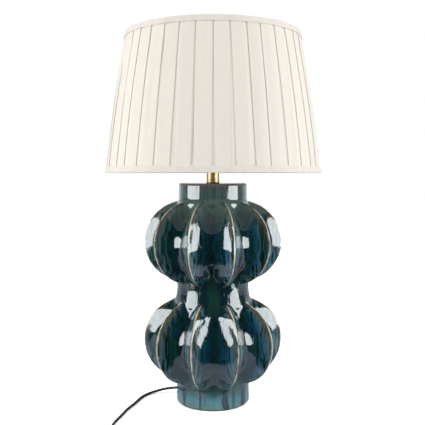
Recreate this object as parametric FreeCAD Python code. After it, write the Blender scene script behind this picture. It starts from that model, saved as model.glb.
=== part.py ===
import FreeCAD, Part
import math
import os

# Table lamp: a fluted double gourd of glazed ceramic, a brass neck, an E27 lampholder
# and a box-pleated drum shade. Millimetres, +Z up, -Y is the front.
# The origin is the centre of the foot, on the table.

V = FreeCAD.Vector
UP = V(0, 0, 1)
ORIGIN = V(0, 0, 0)

# Driving sizes: ceramic body
FELT_T = 1.5
BODY_TOP = 455.0
FOOT_R = 75.3
FOOT_H = 40.0
WAIST_R = 75.1
NECK_R = 71.6
NECK_FLARE_Z = 411.0
NECK_STRAIGHT_Z = 425.0
NECK_EDGE_R = 5.0
FOOT_EDGE_R = 2.0
WALL = 7.0
FLOOR_Z = 40.0
FLOOR_T = 8.0
TOP_PLATE_T = 8.0

# Driving sizes: the fluted lobes of the two gourds
LOBES = 10
RIDGE_R = 144.8
RIDGE_ARC_R = 84.0
VALLEY_R = 114.0
VALLEY_END_R = 75.0
VALLEY_END_H = 62.0
FLUTE_ARC_H = 40.0
FLUTE_ROUND = 0.94
FLUTE_END_ROUND = 0.3
FLUTE_END_POWER = 0.8
JOIN_W = 12.0
BODY_ROWS = 8
BODY_COLUMNS = 3
LOWER_EQUATOR_Z = 129.0
UPPER_EQUATOR_Z = 333.0
LOWER_TURN = 2.0
UPPER_TURN = -1.0
INNER_RIDGE_STEP = 24.0
INNER_LEVELS = 7

# Driving sizes: rod, fixings and brass neck
ROD_R = 5.0
ROD_BORE_R = 3.4
ROD_HOLE_R = 5.6
ROD_TAIL = 13.0
WASHER_R = 22.0
WASHER_T = 2.0
SPRING_WASHER_R = 9.0
SPRING_WASHER_T = 1.6
SPRING_WASHER_SLOT = 1.2
NUT_FLATS = 17.0
NUT_T = 6.0
GASKET_R = 14.0
GASKET_T = 1.5
NECK_TUBE_R = 13.0
NECK_TUBE_WALL = 1.2
NECK_TUBE_H = 40.0
BUSH_T = 6.0
TUBE_CAP_T = 2.5
SCREWED_FIT = 0.05
LOOSE_FIT = 0.3

# Driving sizes: lampholder, E27
HOLDER_R = 20.0
HOLDER_WALL = 2.2
HOLDER_CAP_NECK_R = 8.5
HOLDER_CAP_NECK_H = 5.0
HOLDER_CAP_H = 19.0
SKIRT_H = 36.0
SEAT_FLANGE_R = 27.5
SEAT_FLANGE_T = 2.0
SEAT_FLANGE_RISE = 3.0
INSULATOR_FLOOR_T = 5.0
INSULATOR_H = 26.0
SHELL_T = 0.5
SHELL_H = 20.0
CONTACT_W = 5.0
CONTACT_T = 0.6
CONTACT_RISE = 3.2
TERMINAL_R = 2.0
TERMINAL_HEAD_R = 3.4
TERMINAL_X = 9.0
GRUB_R = 1.5

# Driving sizes: bulb, A60 with an E27 cap
BULB_CAP_R = 13.05
THREAD_CLEAR = 0.09
BULB_TIP_R = 4.6
BULB_TIP_H = 2.0
BULB_GLASS_R = 10.0
BULB_GLASS_H = 4.0
BULB_CAP_H = 21.0
BULB_RIM_R = 14.0
BULB_RIM_H = 2.0
BULB_COLLAR_H = 30.0
BULB_COLLAR_R = 25.5
GLOBE_R = 30.0
GLOBE_RISE = 17.0
GLOBE_WALL = 1.5

# Driving sizes: shade
SHADE_BOTTOM_Z = 476.5
SHADE_TOP_Z = 765.5
SHADE_BOTTOM_R = 224.0
SHADE_TOP_R = 183.5
PLEATS = 38
PLEAT_DEPTH = 2.4
PLEAT_GAP_BOTTOM = 6.5
PLEAT_GAP_TOP = 1.2
CLOTH_T = 0.6
LINING_T = 1.0
SHADE_GAP = 0.3
RING_WIRE_R = 2.0
RING_SIDES = 8
EDGE_INSET = 1.5
BINDING_T = 1.2
BINDING_BOTTOM_H = 15.0
BINDING_TOP_H = 14.0
BINDING_INNER_H = 9.0
SPIDER_ARMS = 3
SPIDER_FIRST = 90.0
SPIDER_HUB_RIM = 4.0
SPIDER_T = 2.0
SPIDER_WIRE_R = 2.0
SPIDER_KNEE_R = 52.0
SPIDER_FOOT_L = 12.0
ARM_SLOT_FIT = 0.15
CLAMP_RING_H = 8.0
CLAMP_RING_R = 26.5
CLAMP_GRIPS = 20
CLAMP_GRIP_R = 1.6

# Driving sizes: cord and what is on it
CORD_R = 2.5
CORD_LENGTH = 1800.0
EXIT_AZIMUTH = 160.3
EXIT_Z = 15.0
GROMMET_HOLE_R = 4.5
GROMMET_LIP_R = 6.5
GROMMET_LIP_T = 1.5
GROMMET_NOSE = 4.0
INNER_BEND_R = 13.0
CORD_FIT = 0.1
CORD_TOP_IN_CAP = 3.0

SWITCH_L = 58.0
SWITCH_W = 23.0
SWITCH_HALF_H = 8.5
SWITCH_WALL = 1.8
SWITCH_CORNER_R = 8.0
SWITCH_EDGE_R = 2.0
SWITCH_CENTRE = V(-118, -224, 0)
SWITCH_HEADING = -4.0
ROCKER_W = 12.4
ROCKER_R = 8.2
ROCKER_TOP_ANGLE = 48.0
ROCKER_LOW_ANGLE = -12.0
ROCKER_DIP = 1.6
ROCKER_TILT = 9.0
ROCKER_PIVOT_Z = 12.4
ROCKER_CLEAR = 0.35
PIN_R = 1.0
PIN_LUG_T = 1.6
SWITCH_SCREW_R = 1.3
SWITCH_SCREW_HEAD_R = 2.5
SWITCH_SCREW_HEAD_T = 1.6
SWITCH_SCREW_X = 20.0
SWITCH_POST_R = 3.4
CORD_GRIP = 6.0

COIL_CENTRE = V(-74, -292, 0)
COIL_MID_R = 28.5
COIL_BAND_W = 15.5
COIL_BAND_H = 15.5
COIL_EDGE = 3.0
COIL_BITE = 4.0

PLUG_CENTRE = V(-172, -325, 0)
PLUG_CENTRE_Z = 6.85
PLUG_W = 35.0
PLUG_T = 13.7
PLUG_L = 34.0
PLUG_WAIST_W = 16.0
PLUG_HEADING = 177.0
PLUG_PIN_R = 2.0
PLUG_PIN_L = 19.0
PLUG_PIN_PITCH = 18.0
PLUG_RELIEF_L = 24.0
PLUG_RELIEF_R = 4.6
PLUG_RELIEF_TIP_R = 3.3

# Levels that follow from the driving sizes
rod_bottom_z = FLOOR_Z - ROD_TAIL
gasket_top_z = BODY_TOP + GASKET_T
tube_top_z = gasket_top_z + NECK_TUBE_H
holder_z = tube_top_z + TUBE_CAP_T
cap_top_z = holder_z + HOLDER_CAP_H
rod_top_z = holder_z + HOLDER_CAP_NECK_H + 4.0
seat_z = cap_top_z + SEAT_FLANGE_RISE + SEAT_FLANGE_T
skirt_top_z = cap_top_z + SKIRT_H
insulator_floor_z = cap_top_z + INSULATOR_FLOOR_T
bulb_tip_z = insulator_floor_z + CONTACT_RISE + LOOSE_FIT
bulb_cap_z = bulb_tip_z + BULB_TIP_H + BULB_GLASS_H
collar_z = bulb_cap_z + BULB_CAP_H
waist_z = (LOWER_EQUATOR_Z + UPPER_EQUATOR_Z) / 2
globe_centre_z = collar_z + BULB_COLLAR_H + GLOBE_RISE
shell_r = BULB_CAP_R + THREAD_CLEAR
insulator_r = HOLDER_R - HOLDER_WALL - LOOSE_FIT
cord_floor_z = CORD_R + 0.1


def save(name, shape):
    shape.exportStep("parts/" + name + ".step")
    print(name, len(shape.Solids), "solids", round(shape.Volume, 1), "mm3", shape.isValid())


def cylinder(radius, z_low, z_high, x=0.0, y=0.0):
    return Part.makeCylinder(radius, z_high - z_low, V(x, y, z_low))


def ring(outer_r, inner_r, z_low, z_high):
    return cylinder(outer_r, z_low, z_high).cut(cylinder(inner_r, z_low, z_high))


def fuse(shapes):
    result = shapes[0]
    for shape in shapes[1:]:
        result = result.fuse(shape)
    return result.removeSplitter()


def revolve(edges):
    face = Part.Face(Part.Wire(edges))
    return face.revolve(ORIGIN, UP, 360)


def line(a, b):
    return Part.LineSegment(V(a[0], 0, a[1]), V(b[0], 0, b[1])).toShape()


def arc(a, middle, b):
    points = [V(p[0], 0, p[1]) for p in (a, middle, b)]
    return Part.Arc(*points).toShape()


def corner(centre, radius, angle):
    turn = math.radians(angle)
    return (centre[0] + radius * math.cos(turn), centre[1] + radius * math.sin(turn))


def revolve_polygon(points):
    closed = points + [points[0]]
    return revolve([line(a, b) for a, b in zip(closed, closed[1:])])


def place(shape, centre, heading):
    moved = shape.copy()
    moved.Placement = FreeCAD.Placement(centre, FreeCAD.Rotation(UP, heading)) * moved.Placement
    return moved


def tube_path(points):
    """Straight runs joined by tangent arcs, as large as the runs allow."""
    edges = []
    radii = []
    start = points[0]
    for before, here, after in zip(points, points[1:], points[2:]):
        run_in = here - before
        run_out = after - here
        turn = run_in.getAngle(run_out)
        reach = 0.45 * min(run_in.Length, run_out.Length)
        bend_r = reach / math.tan(turn / 2)
        back = V(run_in).normalize()
        ahead = V(run_out).normalize()
        arc_start = here - back * reach
        arc_end = here + ahead * reach
        inward = V(ahead - back).normalize()
        middle = here + inward * (bend_r / math.cos(turn / 2) - bend_r)
        edges.append(Part.LineSegment(start, arc_start).toShape())
        edges.append(Part.Arc(arc_start, middle, arc_end).toShape())
        radii.append(round(bend_r, 1))
        start = arc_end
    edges.append(Part.LineSegment(start, points[-1]).toShape())
    return Part.Wire(edges), radii


def tube(name, points, radius):
    path, radii = tube_path(points)
    first = points[1] - points[0]
    section = Part.Wire(Part.Circle(points[0], first, radius).toShape())
    solid = path.makePipeShell([section], True, False)
    expected = math.pi * radius ** 2 * path.Length
    print(name, "length", round(path.Length, 1), "radii", radii,
          "volume ratio", round(solid.Volume / expected, 4))
    return solid, path.Length


def core_radius(z):
    """Foot, waist and neck of the body between its gourds."""
    if z < FOOT_H:
        return FOOT_R
    if z < NECK_FLARE_Z:
        return FOOT_R + (WAIST_R - FOOT_R) * min((z - FOOT_H) / (LOWER_EQUATOR_Z - FOOT_H), 1)
    share = min((z - NECK_FLARE_Z) / (NECK_STRAIGHT_Z - NECK_FLARE_Z), 1)
    return WAIST_R + (NECK_R - WAIST_R) * (1 - math.cos(math.pi * share)) / 2


def ridge_radius(rise):
    """Distance from the axis to a ridge, at a rise over a gourd's widest level."""
    return RIDGE_R - RIDGE_ARC_R + math.sqrt(max(RIDGE_ARC_R ** 2 - rise ** 2, 0))


def flute_radius(rise, across):
    """Distance from the axis to a flute, across being 0 in its middle and 1 on a ridge.

    The flute is an arc of a circle at the gourd's widest level and runs out in a point.
    """
    drop = (rise / VALLEY_END_H) ** 2
    valley_r = VALLEY_R - (VALLEY_R - VALLEY_END_R) * drop
    end = min(drop, 1) ** 2
    round_share = FLUTE_ROUND + (FLUTE_END_ROUND - FLUTE_ROUND) * end
    climb = (1 - math.sqrt(1 - round_share * across ** 2)) / (1 - math.sqrt(1 - round_share))
    climb = climb ** (1 + (FLUTE_END_POWER - 1) * end)
    ridge_r = ridge_radius(rise)
    pointed_r = valley_r + (ridge_r - valley_r) * climb
    half = math.pi / LOBES
    centre_r = (ridge_r ** 2 - valley_r ** 2) / 2 / (ridge_r * math.cos(half) - valley_r)
    depth = (centre_r - valley_r) ** 2 - (centre_r * math.sin(half * across)) ** 2
    arc_r = centre_r * math.cos(half * across) - math.sqrt(max(depth, 0))
    mix = min(abs(rise) / FLUTE_ARC_H, 1)
    return arc_r + (pointed_r - arc_r) * mix ** 2 * (3 - 2 * mix)


def body_radius(z, across):
    """Gourd and core joined by a small hollow fillet."""
    core_r = core_radius(z)
    rise = z - (LOWER_EQUATOR_Z if z < waist_z else UPPER_EQUATOR_Z)
    if abs(rise) >= RIDGE_ARC_R:
        return core_r
    flute_r = flute_radius(rise, across)
    lap = max(JOIN_W - abs(core_r - flute_r), 0)
    return max(core_r, flute_r) + lap ** 2 / JOIN_W / 4


def ridge_turn(z):
    """Degrees that the ridges are turned: one value on each gourd, changing in the waist."""
    start_z = LOWER_EQUATOR_Z + RIDGE_ARC_R
    end_z = UPPER_EQUATOR_Z - RIDGE_ARC_R
    share = min(max((z - start_z) / (end_z - start_z), 0), 1)
    return LOWER_TURN + (UPPER_TURN - LOWER_TURN) * share ** 2 * (3 - 2 * share)


def body_levels():
    """Heights of the surface's rows, closest where the gourds join the core."""
    levels = [FELT_T, FOOT_H / 2, waist_z, NECK_FLARE_Z + 5, NECK_STRAIGHT_Z, BODY_TOP - 8, BODY_TOP]
    for equator_z in (LOWER_EQUATOR_Z, UPPER_EQUATOR_Z):
        for step in range(-BODY_ROWS, BODY_ROWS + 1):
            levels.append(equator_z + (RIDGE_ARC_R + 5) * math.sin(math.pi / 2 * step / BODY_ROWS))
    return sorted(levels)


def flute_face():
    """One flute from foot to neck, ridge to ridge, as a single smooth face."""
    rows = []
    for z in body_levels():
        row = []
        for step in range(-BODY_COLUMNS, BODY_COLUMNS + 1):
            across = math.sin(math.pi / 2 * step / BODY_COLUMNS)
            radius = body_radius(z, abs(across))
            angle = math.radians(-90 + ridge_turn(z)) + across * math.pi / LOBES
            row.append(V(radius * math.cos(angle), radius * math.sin(angle), z))
        rows.append(row)
    spans = [len(rows) - 3, 2 * BODY_COLUMNS - 2]
    knots = [[index / span for index in range(span + 1)] for span in spans]
    counts = [[4] + [1] * (span - 1) + [4] for span in spans]
    surface = Part.BSplineSurface()
    surface.buildFromPolesMultsKnots(rows, counts[0], counts[1], knots[0], knots[1],
                                     False, False, 3, 3)
    return surface.toShape()


def end_face(flutes, z):
    """Flat face that closes the body at one end."""
    edges = []
    for flute in flutes:
        for edge in flute.Edges:
            if abs(edge.BoundBox.ZMin - z) + abs(edge.BoundBox.ZMax - z) < 0.01:
                edges.append(edge)
    return Part.Face(Part.Wire(Part.__sortEdges__(edges)))


def fluted_body():
    flute = flute_face()
    flutes = []
    for index in range(LOBES):
        turned = flute.copy()
        turned.rotate(V(0, 0, 0), UP, index * 360 / LOBES)
        flutes.append(turned)
    shell = Part.makeShell(flutes + [end_face(flutes, FELT_T), end_face(flutes, BODY_TOP)])
    return Part.makeSolid(shell)


def lobe_hollow(equator_z, turn, core_r):
    """Inside of one gourd, flat-sided between its ridges and flutes, down to the core."""
    reach = math.sqrt(RIDGE_ARC_R ** 2 - (core_r - RIDGE_R + RIDGE_ARC_R + INNER_RIDGE_STEP) ** 2)
    wires = []
    for level in range(INNER_LEVELS):
        rise = reach * math.sin(math.pi * (level / (INNER_LEVELS - 1) - 0.5))
        ridge_r = ridge_radius(rise) - INNER_RIDGE_STEP
        radii = [flute_radius(rise, 0) - WALL, flute_radius(rise, 0.5) - 1.25 * WALL, ridge_r]
        radii.append(radii[1])
        points = []
        for index in range(4 * LOBES):
            radius = min(radii[index % 4], ridge_r)
            angle = math.radians(-90 + turn + index * 90 / LOBES)
            points.append(V(radius * math.cos(angle), radius * math.sin(angle), equator_z + rise))
        wires.append(Part.makePolygon(points + [points[0]]))
    return Part.makeLoft(wires, True, True)


def ceramic_body():
    edge = 1.0
    lip_r = NECK_EDGE_R + edge
    lip_c = (NECK_R + edge - lip_r, BODY_TOP - lip_r)
    keep_r = RIDGE_R + NECK_R
    outline = revolve([
        line((0, FELT_T), (FOOT_R - FOOT_EDGE_R, FELT_T)),
        line((FOOT_R - FOOT_EDGE_R, FELT_T), (FOOT_R + edge, FELT_T + FOOT_EDGE_R + edge)),
        line((FOOT_R + edge, FELT_T + FOOT_EDGE_R + edge), (keep_r, FELT_T + FOOT_EDGE_R + edge)),
        line((keep_r, FELT_T + FOOT_EDGE_R + edge), (keep_r, lip_c[1])),
        line((keep_r, lip_c[1]), (NECK_R + edge, lip_c[1])),
        arc((NECK_R + edge, lip_c[1]), corner(lip_c, lip_r, 45), (lip_c[0], BODY_TOP)),
        line((lip_c[0], BODY_TOP), (0, BODY_TOP)),
        line((0, BODY_TOP), (0, FELT_T)),
    ])
    hollow_r = WAIST_R - WALL
    neck_hollow_r = NECK_R - WALL
    hollow = revolve_polygon([
        (0, FLOOR_Z + FLOOR_T),
        (hollow_r, FLOOR_Z + FLOOR_T),
        (hollow_r, NECK_FLARE_Z),
        (neck_hollow_r, NECK_STRAIGHT_Z),
        (neck_hollow_r, BODY_TOP - TOP_PLATE_T),
        (0, BODY_TOP - TOP_PLATE_T),
    ])
    for equator_z, turn in ((LOWER_EQUATOR_Z, LOWER_TURN), (UPPER_EQUATOR_Z, UPPER_TURN)):
        hollow = hollow.fuse(lobe_hollow(equator_z, turn, hollow_r))
    foot_hollow = cylinder(FOOT_R - WALL - 1.0, FELT_T, FLOOR_Z)
    rod_hole = cylinder(ROD_HOLE_R, FLOOR_Z, BODY_TOP)
    outward = exit_point(1, 0)
    cable_hole = Part.makeCylinder(GROMMET_HOLE_R, FOOT_R + WALL, V(0, 0, EXIT_Z), outward)
    body = fluted_body().common(outline)
    return body.cut(hollow).cut(foot_hollow).cut(rod_hole).cut(cable_hole)


def felt_pad():
    return cylinder(FOOT_R - FOOT_EDGE_R - 1.0, 0, FELT_T)


def spring_washer(z_low):
    washer = ring(SPRING_WASHER_R, ROD_R + SCREWED_FIT, z_low, z_low + SPRING_WASHER_T)
    slot = Part.makeBox(SPRING_WASHER_R, SPRING_WASHER_SLOT, SPRING_WASHER_T, V(0, 0, z_low))
    return washer.cut(slot)


def hexagon_nut(z_low):
    corner_r = NUT_FLATS / 2 / math.cos(math.pi / 6)
    points = []
    for index in range(7):
        angle = math.radians(60 * index)
        points.append(V(corner_r * math.cos(angle), corner_r * math.sin(angle), z_low))
    block = Part.Face(Part.makePolygon(points)).extrude(V(0, 0, NUT_T))
    chamfer = corner_r - NUT_FLATS / 2
    rounding = revolve_polygon([
        (0, z_low),
        (NUT_FLATS / 2, z_low),
        (corner_r, z_low + chamfer / 2),
        (corner_r, z_low + NUT_T),
        (0, z_low + NUT_T),
    ])
    return block.common(rounding).cut(cylinder(ROD_R + SCREWED_FIT, z_low, z_low + NUT_T))


def rod_and_fixings():
    washer_z = FLOOR_Z - WASHER_T
    spring_z = washer_z - SPRING_WASHER_T
    save("threaded_rod", ring(ROD_R, ROD_BORE_R, rod_bottom_z, rod_top_z))
    save("lower_washer", ring(WASHER_R, ROD_R + SCREWED_FIT, washer_z, FLOOR_Z))
    save("spring_washer", spring_washer(spring_z))
    save("lower_nut", hexagon_nut(spring_z - NUT_T))


def brass_neck():
    inner_r = NECK_TUBE_R - NECK_TUBE_WALL
    save("neck_gasket", ring(GASKET_R, ROD_R + LOOSE_FIT, BODY_TOP, gasket_top_z))
    save("neck_tube", ring(NECK_TUBE_R, inner_r, gasket_top_z, tube_top_z))
    save("rod_bush", ring(inner_r - SCREWED_FIT, ROD_R + SCREWED_FIT, gasket_top_z,
                          gasket_top_z + BUSH_T))
    save("neck_cap", ring(NECK_TUBE_R, ROD_R + SCREWED_FIT, tube_top_z, holder_z))


def holder_cap():
    neck_z = holder_z + HOLDER_CAP_NECK_H
    shoulder_z = neck_z + HOLDER_R - HOLDER_CAP_NECK_R
    inner_r = HOLDER_R - HOLDER_WALL
    outer = revolve([
        line((0, holder_z), (HOLDER_CAP_NECK_R, holder_z)),
        line((HOLDER_CAP_NECK_R, holder_z), (HOLDER_CAP_NECK_R, neck_z)),
        arc((HOLDER_CAP_NECK_R, neck_z), corner((HOLDER_CAP_NECK_R, shoulder_z),
            HOLDER_R - HOLDER_CAP_NECK_R, -45), (HOLDER_R, shoulder_z)),
        line((HOLDER_R, shoulder_z), (HOLDER_R, cap_top_z)),
        line((HOLDER_R, cap_top_z), (0, cap_top_z)),
        line((0, cap_top_z), (0, holder_z)),
    ])
    cavity_z = neck_z + HOLDER_WALL + 2.0
    bowl_r = inner_r - ROD_R
    cavity = revolve([
        line((0, cavity_z), (ROD_R, cavity_z)),
        arc((ROD_R, cavity_z), corner((ROD_R, cavity_z + bowl_r * 0.7), bowl_r, -55),
            (inner_r, cap_top_z - 1.0)),
        line((inner_r, cap_top_z - 1.0), (inner_r, cap_top_z)),
        line((inner_r, cap_top_z), (0, cap_top_z)),
        line((0, cap_top_z), (0, cavity_z)),
    ])
    grub_hole = Part.makeCylinder(GRUB_R, HOLDER_CAP_NECK_R, V(0, 0, grub_z()), V(0, 1, 0))
    return outer.cut(cavity).cut(cylinder(ROD_R + SCREWED_FIT, holder_z, cap_top_z)).cut(grub_hole)


def grub_z():
    return holder_z + HOLDER_CAP_NECK_H / 2


def grub_screw():
    start = ROD_R + SCREWED_FIT
    length = HOLDER_CAP_NECK_R + 0.5 - start
    screw = Part.makeCylinder(GRUB_R, length, V(0, start, grub_z()), V(0, 1, 0))
    slot = Part.makeBox(2 * GRUB_R, 1.0, 0.5, V(-GRUB_R, start + length - 1.0, grub_z() - 0.25))
    return screw.cut(slot)


def holder_skirt():
    """Outer sleeve with the fixed flange that carries the shade."""
    inner_r = HOLDER_R - HOLDER_WALL
    flange_z = cap_top_z + SEAT_FLANGE_RISE
    sleeve = cylinder(HOLDER_R, cap_top_z, skirt_top_z)
    flange = cylinder(SEAT_FLANGE_R, flange_z, seat_z)
    lip = cylinder(HOLDER_R - HOLDER_WALL - 1.2, skirt_top_z - 1.6, skirt_top_z)
    bore = cylinder(inner_r, cap_top_z, skirt_top_z - 1.6)
    return fuse([sleeve, flange]).cut(fuse([bore, lip]))


def holder_insulator():
    cup = cylinder(insulator_r, cap_top_z, cap_top_z + INSULATOR_H)
    bore = cylinder(shell_r + SHELL_T, insulator_floor_z, cap_top_z + INSULATOR_H)
    holes = [cylinder(TERMINAL_R, cap_top_z, insulator_floor_z, x) for x in (-TERMINAL_X, TERMINAL_X)]
    return cup.cut(bore).cut(fuse(holes))


def screw_shell():
    top_z = insulator_floor_z + SHELL_H
    return ring(shell_r + SHELL_T, shell_r, insulator_floor_z, top_z)


def centre_contact():
    """Sprung strip that rises to the bulb's tip."""
    z = insulator_floor_z
    rise = CONTACT_RISE
    outline = [(-5.5, z), (4.5, z), (4.5, z + CONTACT_T), (-4.2, z + CONTACT_T),
               (-1.5, z + rise - CONTACT_T), (3.0, z + rise - CONTACT_T), (3.0, z + rise),
               (-1.9, z + rise), (-5.5, z + CONTACT_T)]
    points = [V(x, -CONTACT_W / 2, level) for x, level in outline]
    face = Part.Face(Part.makePolygon(points + [points[0]]))
    return face.extrude(V(0, CONTACT_W, 0))


def terminal_screws():
    screws = []
    for x in (-TERMINAL_X, TERMINAL_X):
        shank = cylinder(TERMINAL_R - SCREWED_FIT, cap_top_z, insulator_floor_z - 0.5, x)
        head = cylinder(TERMINAL_HEAD_R, cap_top_z - 2.0, cap_top_z, x)
        slot = Part.makeBox(2 * TERMINAL_HEAD_R, 0.8, 0.8,
                            V(x - TERMINAL_HEAD_R, -0.4, cap_top_z - 2.0))
        screws.append(fuse([shank, head]).cut(slot))
    return Part.makeCompound(screws)


def bulb_pieces():
    glass_z = bulb_tip_z + BULB_TIP_H
    rim_z = collar_z - BULB_RIM_H
    save("bulb_contact", cylinder(BULB_TIP_R, bulb_tip_z, glass_z))
    save("bulb_insulator", revolve_polygon([
        (0, glass_z),
        (BULB_TIP_R + 1.0, glass_z),
        (BULB_GLASS_R, bulb_cap_z),
        (0, bulb_cap_z),
    ]))
    save("bulb_cap", revolve_polygon([
        (0, bulb_cap_z),
        (BULB_GLASS_R, bulb_cap_z),
        (BULB_CAP_R, bulb_cap_z + 3.0),
        (BULB_CAP_R, rim_z),
        (BULB_RIM_R, rim_z),
        (BULB_RIM_R, collar_z),
        (0, collar_z),
    ]))
    collar_top_z = collar_z + BULB_COLLAR_H
    save("bulb_collar", revolve([
        line((0, collar_z), (BULB_CAP_R, collar_z)),
        line((BULB_CAP_R, collar_z), (BULB_RIM_R + 1.0, collar_z + 8.0)),
        arc((BULB_RIM_R + 1.0, collar_z + 8.0), (BULB_RIM_R + 4.2, collar_z + 18.0),
            (BULB_COLLAR_R, collar_top_z)),
        line((BULB_COLLAR_R, collar_top_z), (0, collar_top_z)),
        line((0, collar_top_z), (0, collar_z)),
    ]))
    outer = Part.makeSphere(GLOBE_R, V(0, 0, globe_centre_z))
    inner = Part.makeSphere(GLOBE_R - GLOBE_WALL, V(0, 0, globe_centre_z))
    keep = cylinder(GLOBE_R + 1, collar_top_z, globe_centre_z + GLOBE_R + 1)
    save("bulb_globe", outer.cut(inner).common(keep))


def shade_radius(z):
    """Outer radius of the pleated cloth at a level."""
    share = (z - SHADE_BOTTOM_Z) / (SHADE_TOP_Z - SHADE_BOTTOM_Z)
    return SHADE_BOTTOM_R + (SHADE_TOP_R - SHADE_BOTTOM_R) * share


def cone_shell(outer_step, thickness, z_low, z_high):
    """Conical sheet that lies outer_step inside the pleats' outer faces."""
    return revolve_polygon([
        (shade_radius(z_low) - outer_step, z_low),
        (shade_radius(z_high) - outer_step, z_high),
        (shade_radius(z_high) - outer_step - thickness, z_high),
        (shade_radius(z_low) - outer_step - thickness, z_low),
    ])


def pleat_wire(z, gap):
    outer_r = shade_radius(z)
    valley_r = outer_r - PLEAT_DEPTH
    pitch = 2 * math.pi / PLEATS
    half_gap = math.asin(gap / 2 / outer_r)
    points = []
    for index in range(PLEATS):
        centre = index * pitch - math.pi / 2
        for radius, angle in ((valley_r, centre - half_gap), (valley_r, centre + half_gap),
                              (outer_r, centre + half_gap), (outer_r, centre + pitch - half_gap)):
            points.append(V(radius * math.cos(angle), radius * math.sin(angle), z))
    return Part.makePolygon(points + [points[0]])


def cloth_back_wire(z, gap):
    """Back of the cloth: flat behind each gap, with one crease behind each panel."""
    radius = shade_radius(z) - PLEAT_DEPTH - CLOTH_T
    pitch = 2 * math.pi / PLEATS
    half_gap = math.asin(gap / 2 / radius)
    points = []
    for index in range(PLEATS):
        centre = index * pitch - math.pi / 2
        for angle in (centre - half_gap, centre + half_gap, centre + pitch / 2):
            points.append(V(radius * math.cos(angle), radius * math.sin(angle), z))
    return Part.makePolygon(points + [points[0]])


def shade_cover():
    low_z = SHADE_BOTTOM_Z + EDGE_INSET
    high_z = SHADE_TOP_Z - EDGE_INSET
    ends = ((low_z, PLEAT_GAP_BOTTOM), (high_z, PLEAT_GAP_TOP))
    pleated = Part.makeLoft([pleat_wire(z, gap) for z, gap in ends], True, True)
    back = Part.makeLoft([cloth_back_wire(z, gap) for z, gap in ends], True, True)
    return pleated.cut(back)


lining_step = PLEAT_DEPTH + CLOTH_T + SHADE_GAP
ring_step = lining_step + LINING_T + SHADE_GAP + RING_WIRE_R


def ring_level(is_top):
    if is_top:
        return SHADE_TOP_Z - EDGE_INSET - RING_WIRE_R
    return SHADE_BOTTOM_Z + EDGE_INSET + RING_WIRE_R


def binding(is_top):
    """Cloth band folded over the edge: outer leg, rolled edge and short inner leg."""
    sign = -1 if is_top else 1
    edge_z = SHADE_TOP_Z if is_top else SHADE_BOTTOM_Z
    height = BINDING_TOP_H if is_top else BINDING_BOTTOM_H
    outer_r = shade_radius(edge_z) + LOOSE_FIT
    inner_r = shade_radius(edge_z) - ring_step - RING_WIRE_R - 1.0 - BINDING_T
    leg_z = edge_z + sign * height
    inner_leg_z = edge_z + sign * BINDING_INNER_H
    lean = shade_radius(leg_z) - shade_radius(edge_z)
    inner_lean = shade_radius(inner_leg_z) - shade_radius(edge_z)
    web_z = edge_z + sign * BINDING_T
    half_roll = BINDING_T / 2
    outline = [
        (outer_r + BINDING_T - half_roll, edge_z),
        (outer_r + BINDING_T, edge_z + sign * half_roll),
        (outer_r + BINDING_T + lean, leg_z),
        (outer_r + lean, leg_z),
        (outer_r, web_z),
        (inner_r + BINDING_T, web_z),
        (inner_r + BINDING_T + inner_lean, inner_leg_z),
        (inner_r + inner_lean, inner_leg_z),
        (inner_r, edge_z + sign * half_roll),
        (inner_r + half_roll, edge_z),
    ]
    band = revolve_polygon(outline)
    if is_top:
        return band
    return band.cut([arm_slot(angle) for angle in spider_angles()])


def spider_angles():
    return [math.radians(SPIDER_FIRST + index * 360 / SPIDER_ARMS) for index in range(SPIDER_ARMS)]


def arm_slot(angle):
    """Opening in the band's inner leg that one spider arm passes."""
    z = ring_level(False)
    length = shade_radius(z) - ring_step
    ahead = V(math.cos(angle), math.sin(angle), 0)
    return Part.makeCylinder(SPIDER_WIRE_R + ARM_SLOT_FIT, length, V(0, 0, z), ahead)


def wire_ring(is_top):
    """Frame ring of round wire, its section drawn with a few flats."""
    z = ring_level(is_top)
    centre = (shade_radius(z) - ring_step, z)
    corner_r = RING_WIRE_R / math.cos(math.pi / RING_SIDES)
    step = 360 / RING_SIDES
    return revolve_polygon([corner(centre, corner_r, step * (index + 0.5))
                            for index in range(RING_SIDES)])


def shade_spider():
    """Flat hub ring and bent wire arms that drop to the bottom ring."""
    hub_r = SEAT_FLANGE_R + SPIDER_HUB_RIM
    hub = ring(hub_r, HOLDER_R + LOOSE_FIT, seat_z, seat_z + SPIDER_T)
    ring_z = ring_level(False)
    end_r = shade_radius(ring_z) - ring_step - RING_WIRE_R - 0.1
    knee_z = seat_z + SPIDER_T / 2
    pieces = [hub]
    for angle in spider_angles():
        ahead = V(math.cos(angle), math.sin(angle), 0)
        arm_start = ahead * (hub_r - SPIDER_WIRE_R) + V(0, 0, knee_z)
        knee = ahead * SPIDER_KNEE_R + V(0, 0, knee_z)
        foot = ahead * (end_r - SPIDER_FOOT_L) + V(0, 0, ring_z)
        end = ahead * end_r + V(0, 0, ring_z)
        arm = tube("spider_arm", [arm_start, knee, foot, end], SPIDER_WIRE_R)[0]
        pieces.append(arm)
    return fuse(pieces)


def clamp_ring():
    z_low = seat_z + SPIDER_T + LOOSE_FIT
    z_high = z_low + CLAMP_RING_H
    body = ring(CLAMP_RING_R, HOLDER_R + THREAD_CLEAR, z_low, z_high)
    grips = []
    for index in range(CLAMP_GRIPS):
        angle = 2 * math.pi * index / CLAMP_GRIPS
        grips.append(cylinder(CLAMP_GRIP_R, z_low + 2.0, z_high, CLAMP_RING_R * math.cos(angle),
                              CLAMP_RING_R * math.sin(angle)))
    return body.cut(Part.makeCompound(grips))


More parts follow.
